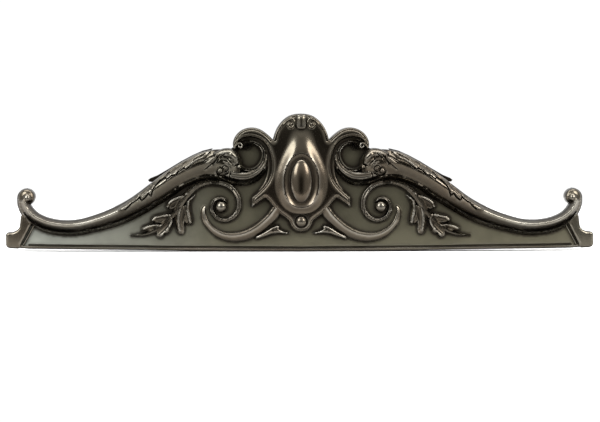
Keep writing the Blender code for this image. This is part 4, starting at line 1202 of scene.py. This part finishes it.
def make_relief():
    """The whole casting as one mesh, in place of the CAD solid."""
    shapes = [soft_edge(shape) for shape in forms()]
    shapes += head_details() + scroll_leaf_details() + rim_lines()
    flat, triangles = triangulate(shapes, FACE_GRID)
    height = lay_forms(shapes, flat, triangles)
    triangles = keep_solid(shapes, flat, triangles, height)
    places, faces = whole_solid(flat, triangles, height)
    mesh = bpy.data.meshes.new("scroll_onlay_relief")
    mesh.from_pydata(places.tolist(), [], faces.tolist())
    mesh.update()
    mesh.shade_smooth()
    mesh.set_sharp_from_angle(angle=math.radians(SHARP_ANGLE))
    write_shades(mesh, places)
    mesh.materials.append(metal_material())
    piece = placed("scroll_onlay_relief", mesh)
    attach(piece, "root")
    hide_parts("scroll_onlay")


def soft_light(name, place, size, power, colour):
    """A rectangular soft box that faces the origin."""
    light = bpy.data.lights.new(name, "AREA")
    light.shape = "RECTANGLE"
    light.size, light.size_y = size
    light.energy = power
    light.color = colour
    holder = placed(name, light)
    holder.location = place
    holder.rotation_euler = (-Vector(place)).to_track_quat("-Z", "Y").to_euler()


def pale_floor():
    """The plain floor under the part; it ends close in front, so that the metal stays dark."""
    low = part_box("scroll_onlay")[0].z
    near, far = FLOOR_ENDS
    corners = [(-FLOOR_HALF, near, low), (FLOOR_HALF, near, low), (FLOOR_HALF, far, low),
               (-FLOOR_HALF, far, low)]
    mesh = bpy.data.meshes.new("floor")
    mesh.from_pydata(corners, [], [(0, 1, 2, 3)])
    paint = {"Base Color": FLOOR_GREY, "Roughness": FLOOR_ROUGHNESS, "Specular IOR Level": 0.0}
    mesh.materials.append(new_material("pale_floor", paint)[0])
    placed("floor", mesh)


def room():
    """A room that is dark in front of the part, and bright at its sides, above and behind."""
    world = bpy.data.worlds.new("studio")
    world.use_nodes = True
    bpy.context.scene.world = world
    tree = world.node_tree
    where = tree.nodes.new("ShaderNodeTexCoord").outputs["Generated"]
    parts = node(tree, "ShaderNodeSeparateXYZ", Vector=where)
    aside = spread(tree, math_node(tree, "ABSOLUTE", parts.outputs["X"], 0.0), *SIDE_BAND, 0.0, 1.0)
    colour = blend(tree, aside, FRONT_GREY, SIDE_GREY)
    raised = spread(tree, parts.outputs["Z"], *UPPER_BAND, 0.0, 1.0)
    colour = blend(tree, raised, colour, UPPER_GREY)
    behind = spread(tree, parts.outputs["Y"], *BACK_BAND, 0.0, 1.0)
    colour = blend(tree, behind, colour, BACK_GREY)
    tree.links.new(colour, tree.nodes["Background"].inputs["Color"])


def camera():
    """The photograph's camera: a little to the left, a little above, and far off."""
    aim = Vector(CAMERA_AIM)
    turn, rise = math.radians(CAMERA_AZIMUTH), math.radians(CAMERA_ELEVATION)
    back = Vector((math.sin(turn) * math.cos(rise), -math.cos(turn) * math.cos(rise), math.sin(rise)))
    data = bpy.data.cameras.new("camera")
    data.lens = data.sensor_width * CAMERA_DISTANCE / VIEW_WIDTH
    holder = placed("camera", data)
    holder.location = aim + back * CAMERA_DISTANCE
    holder.rotation_euler = (-back).to_track_quat("-Z", "Y").to_euler()
    bpy.context.scene.camera = holder


def main():
    """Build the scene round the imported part."""
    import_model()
    make_relief()
    pale_floor()
    for settings in LIGHTS:
        soft_light(*settings)
    room()
    camera()
    bpy.context.scene.view_settings.view_transform = "Standard"


main()
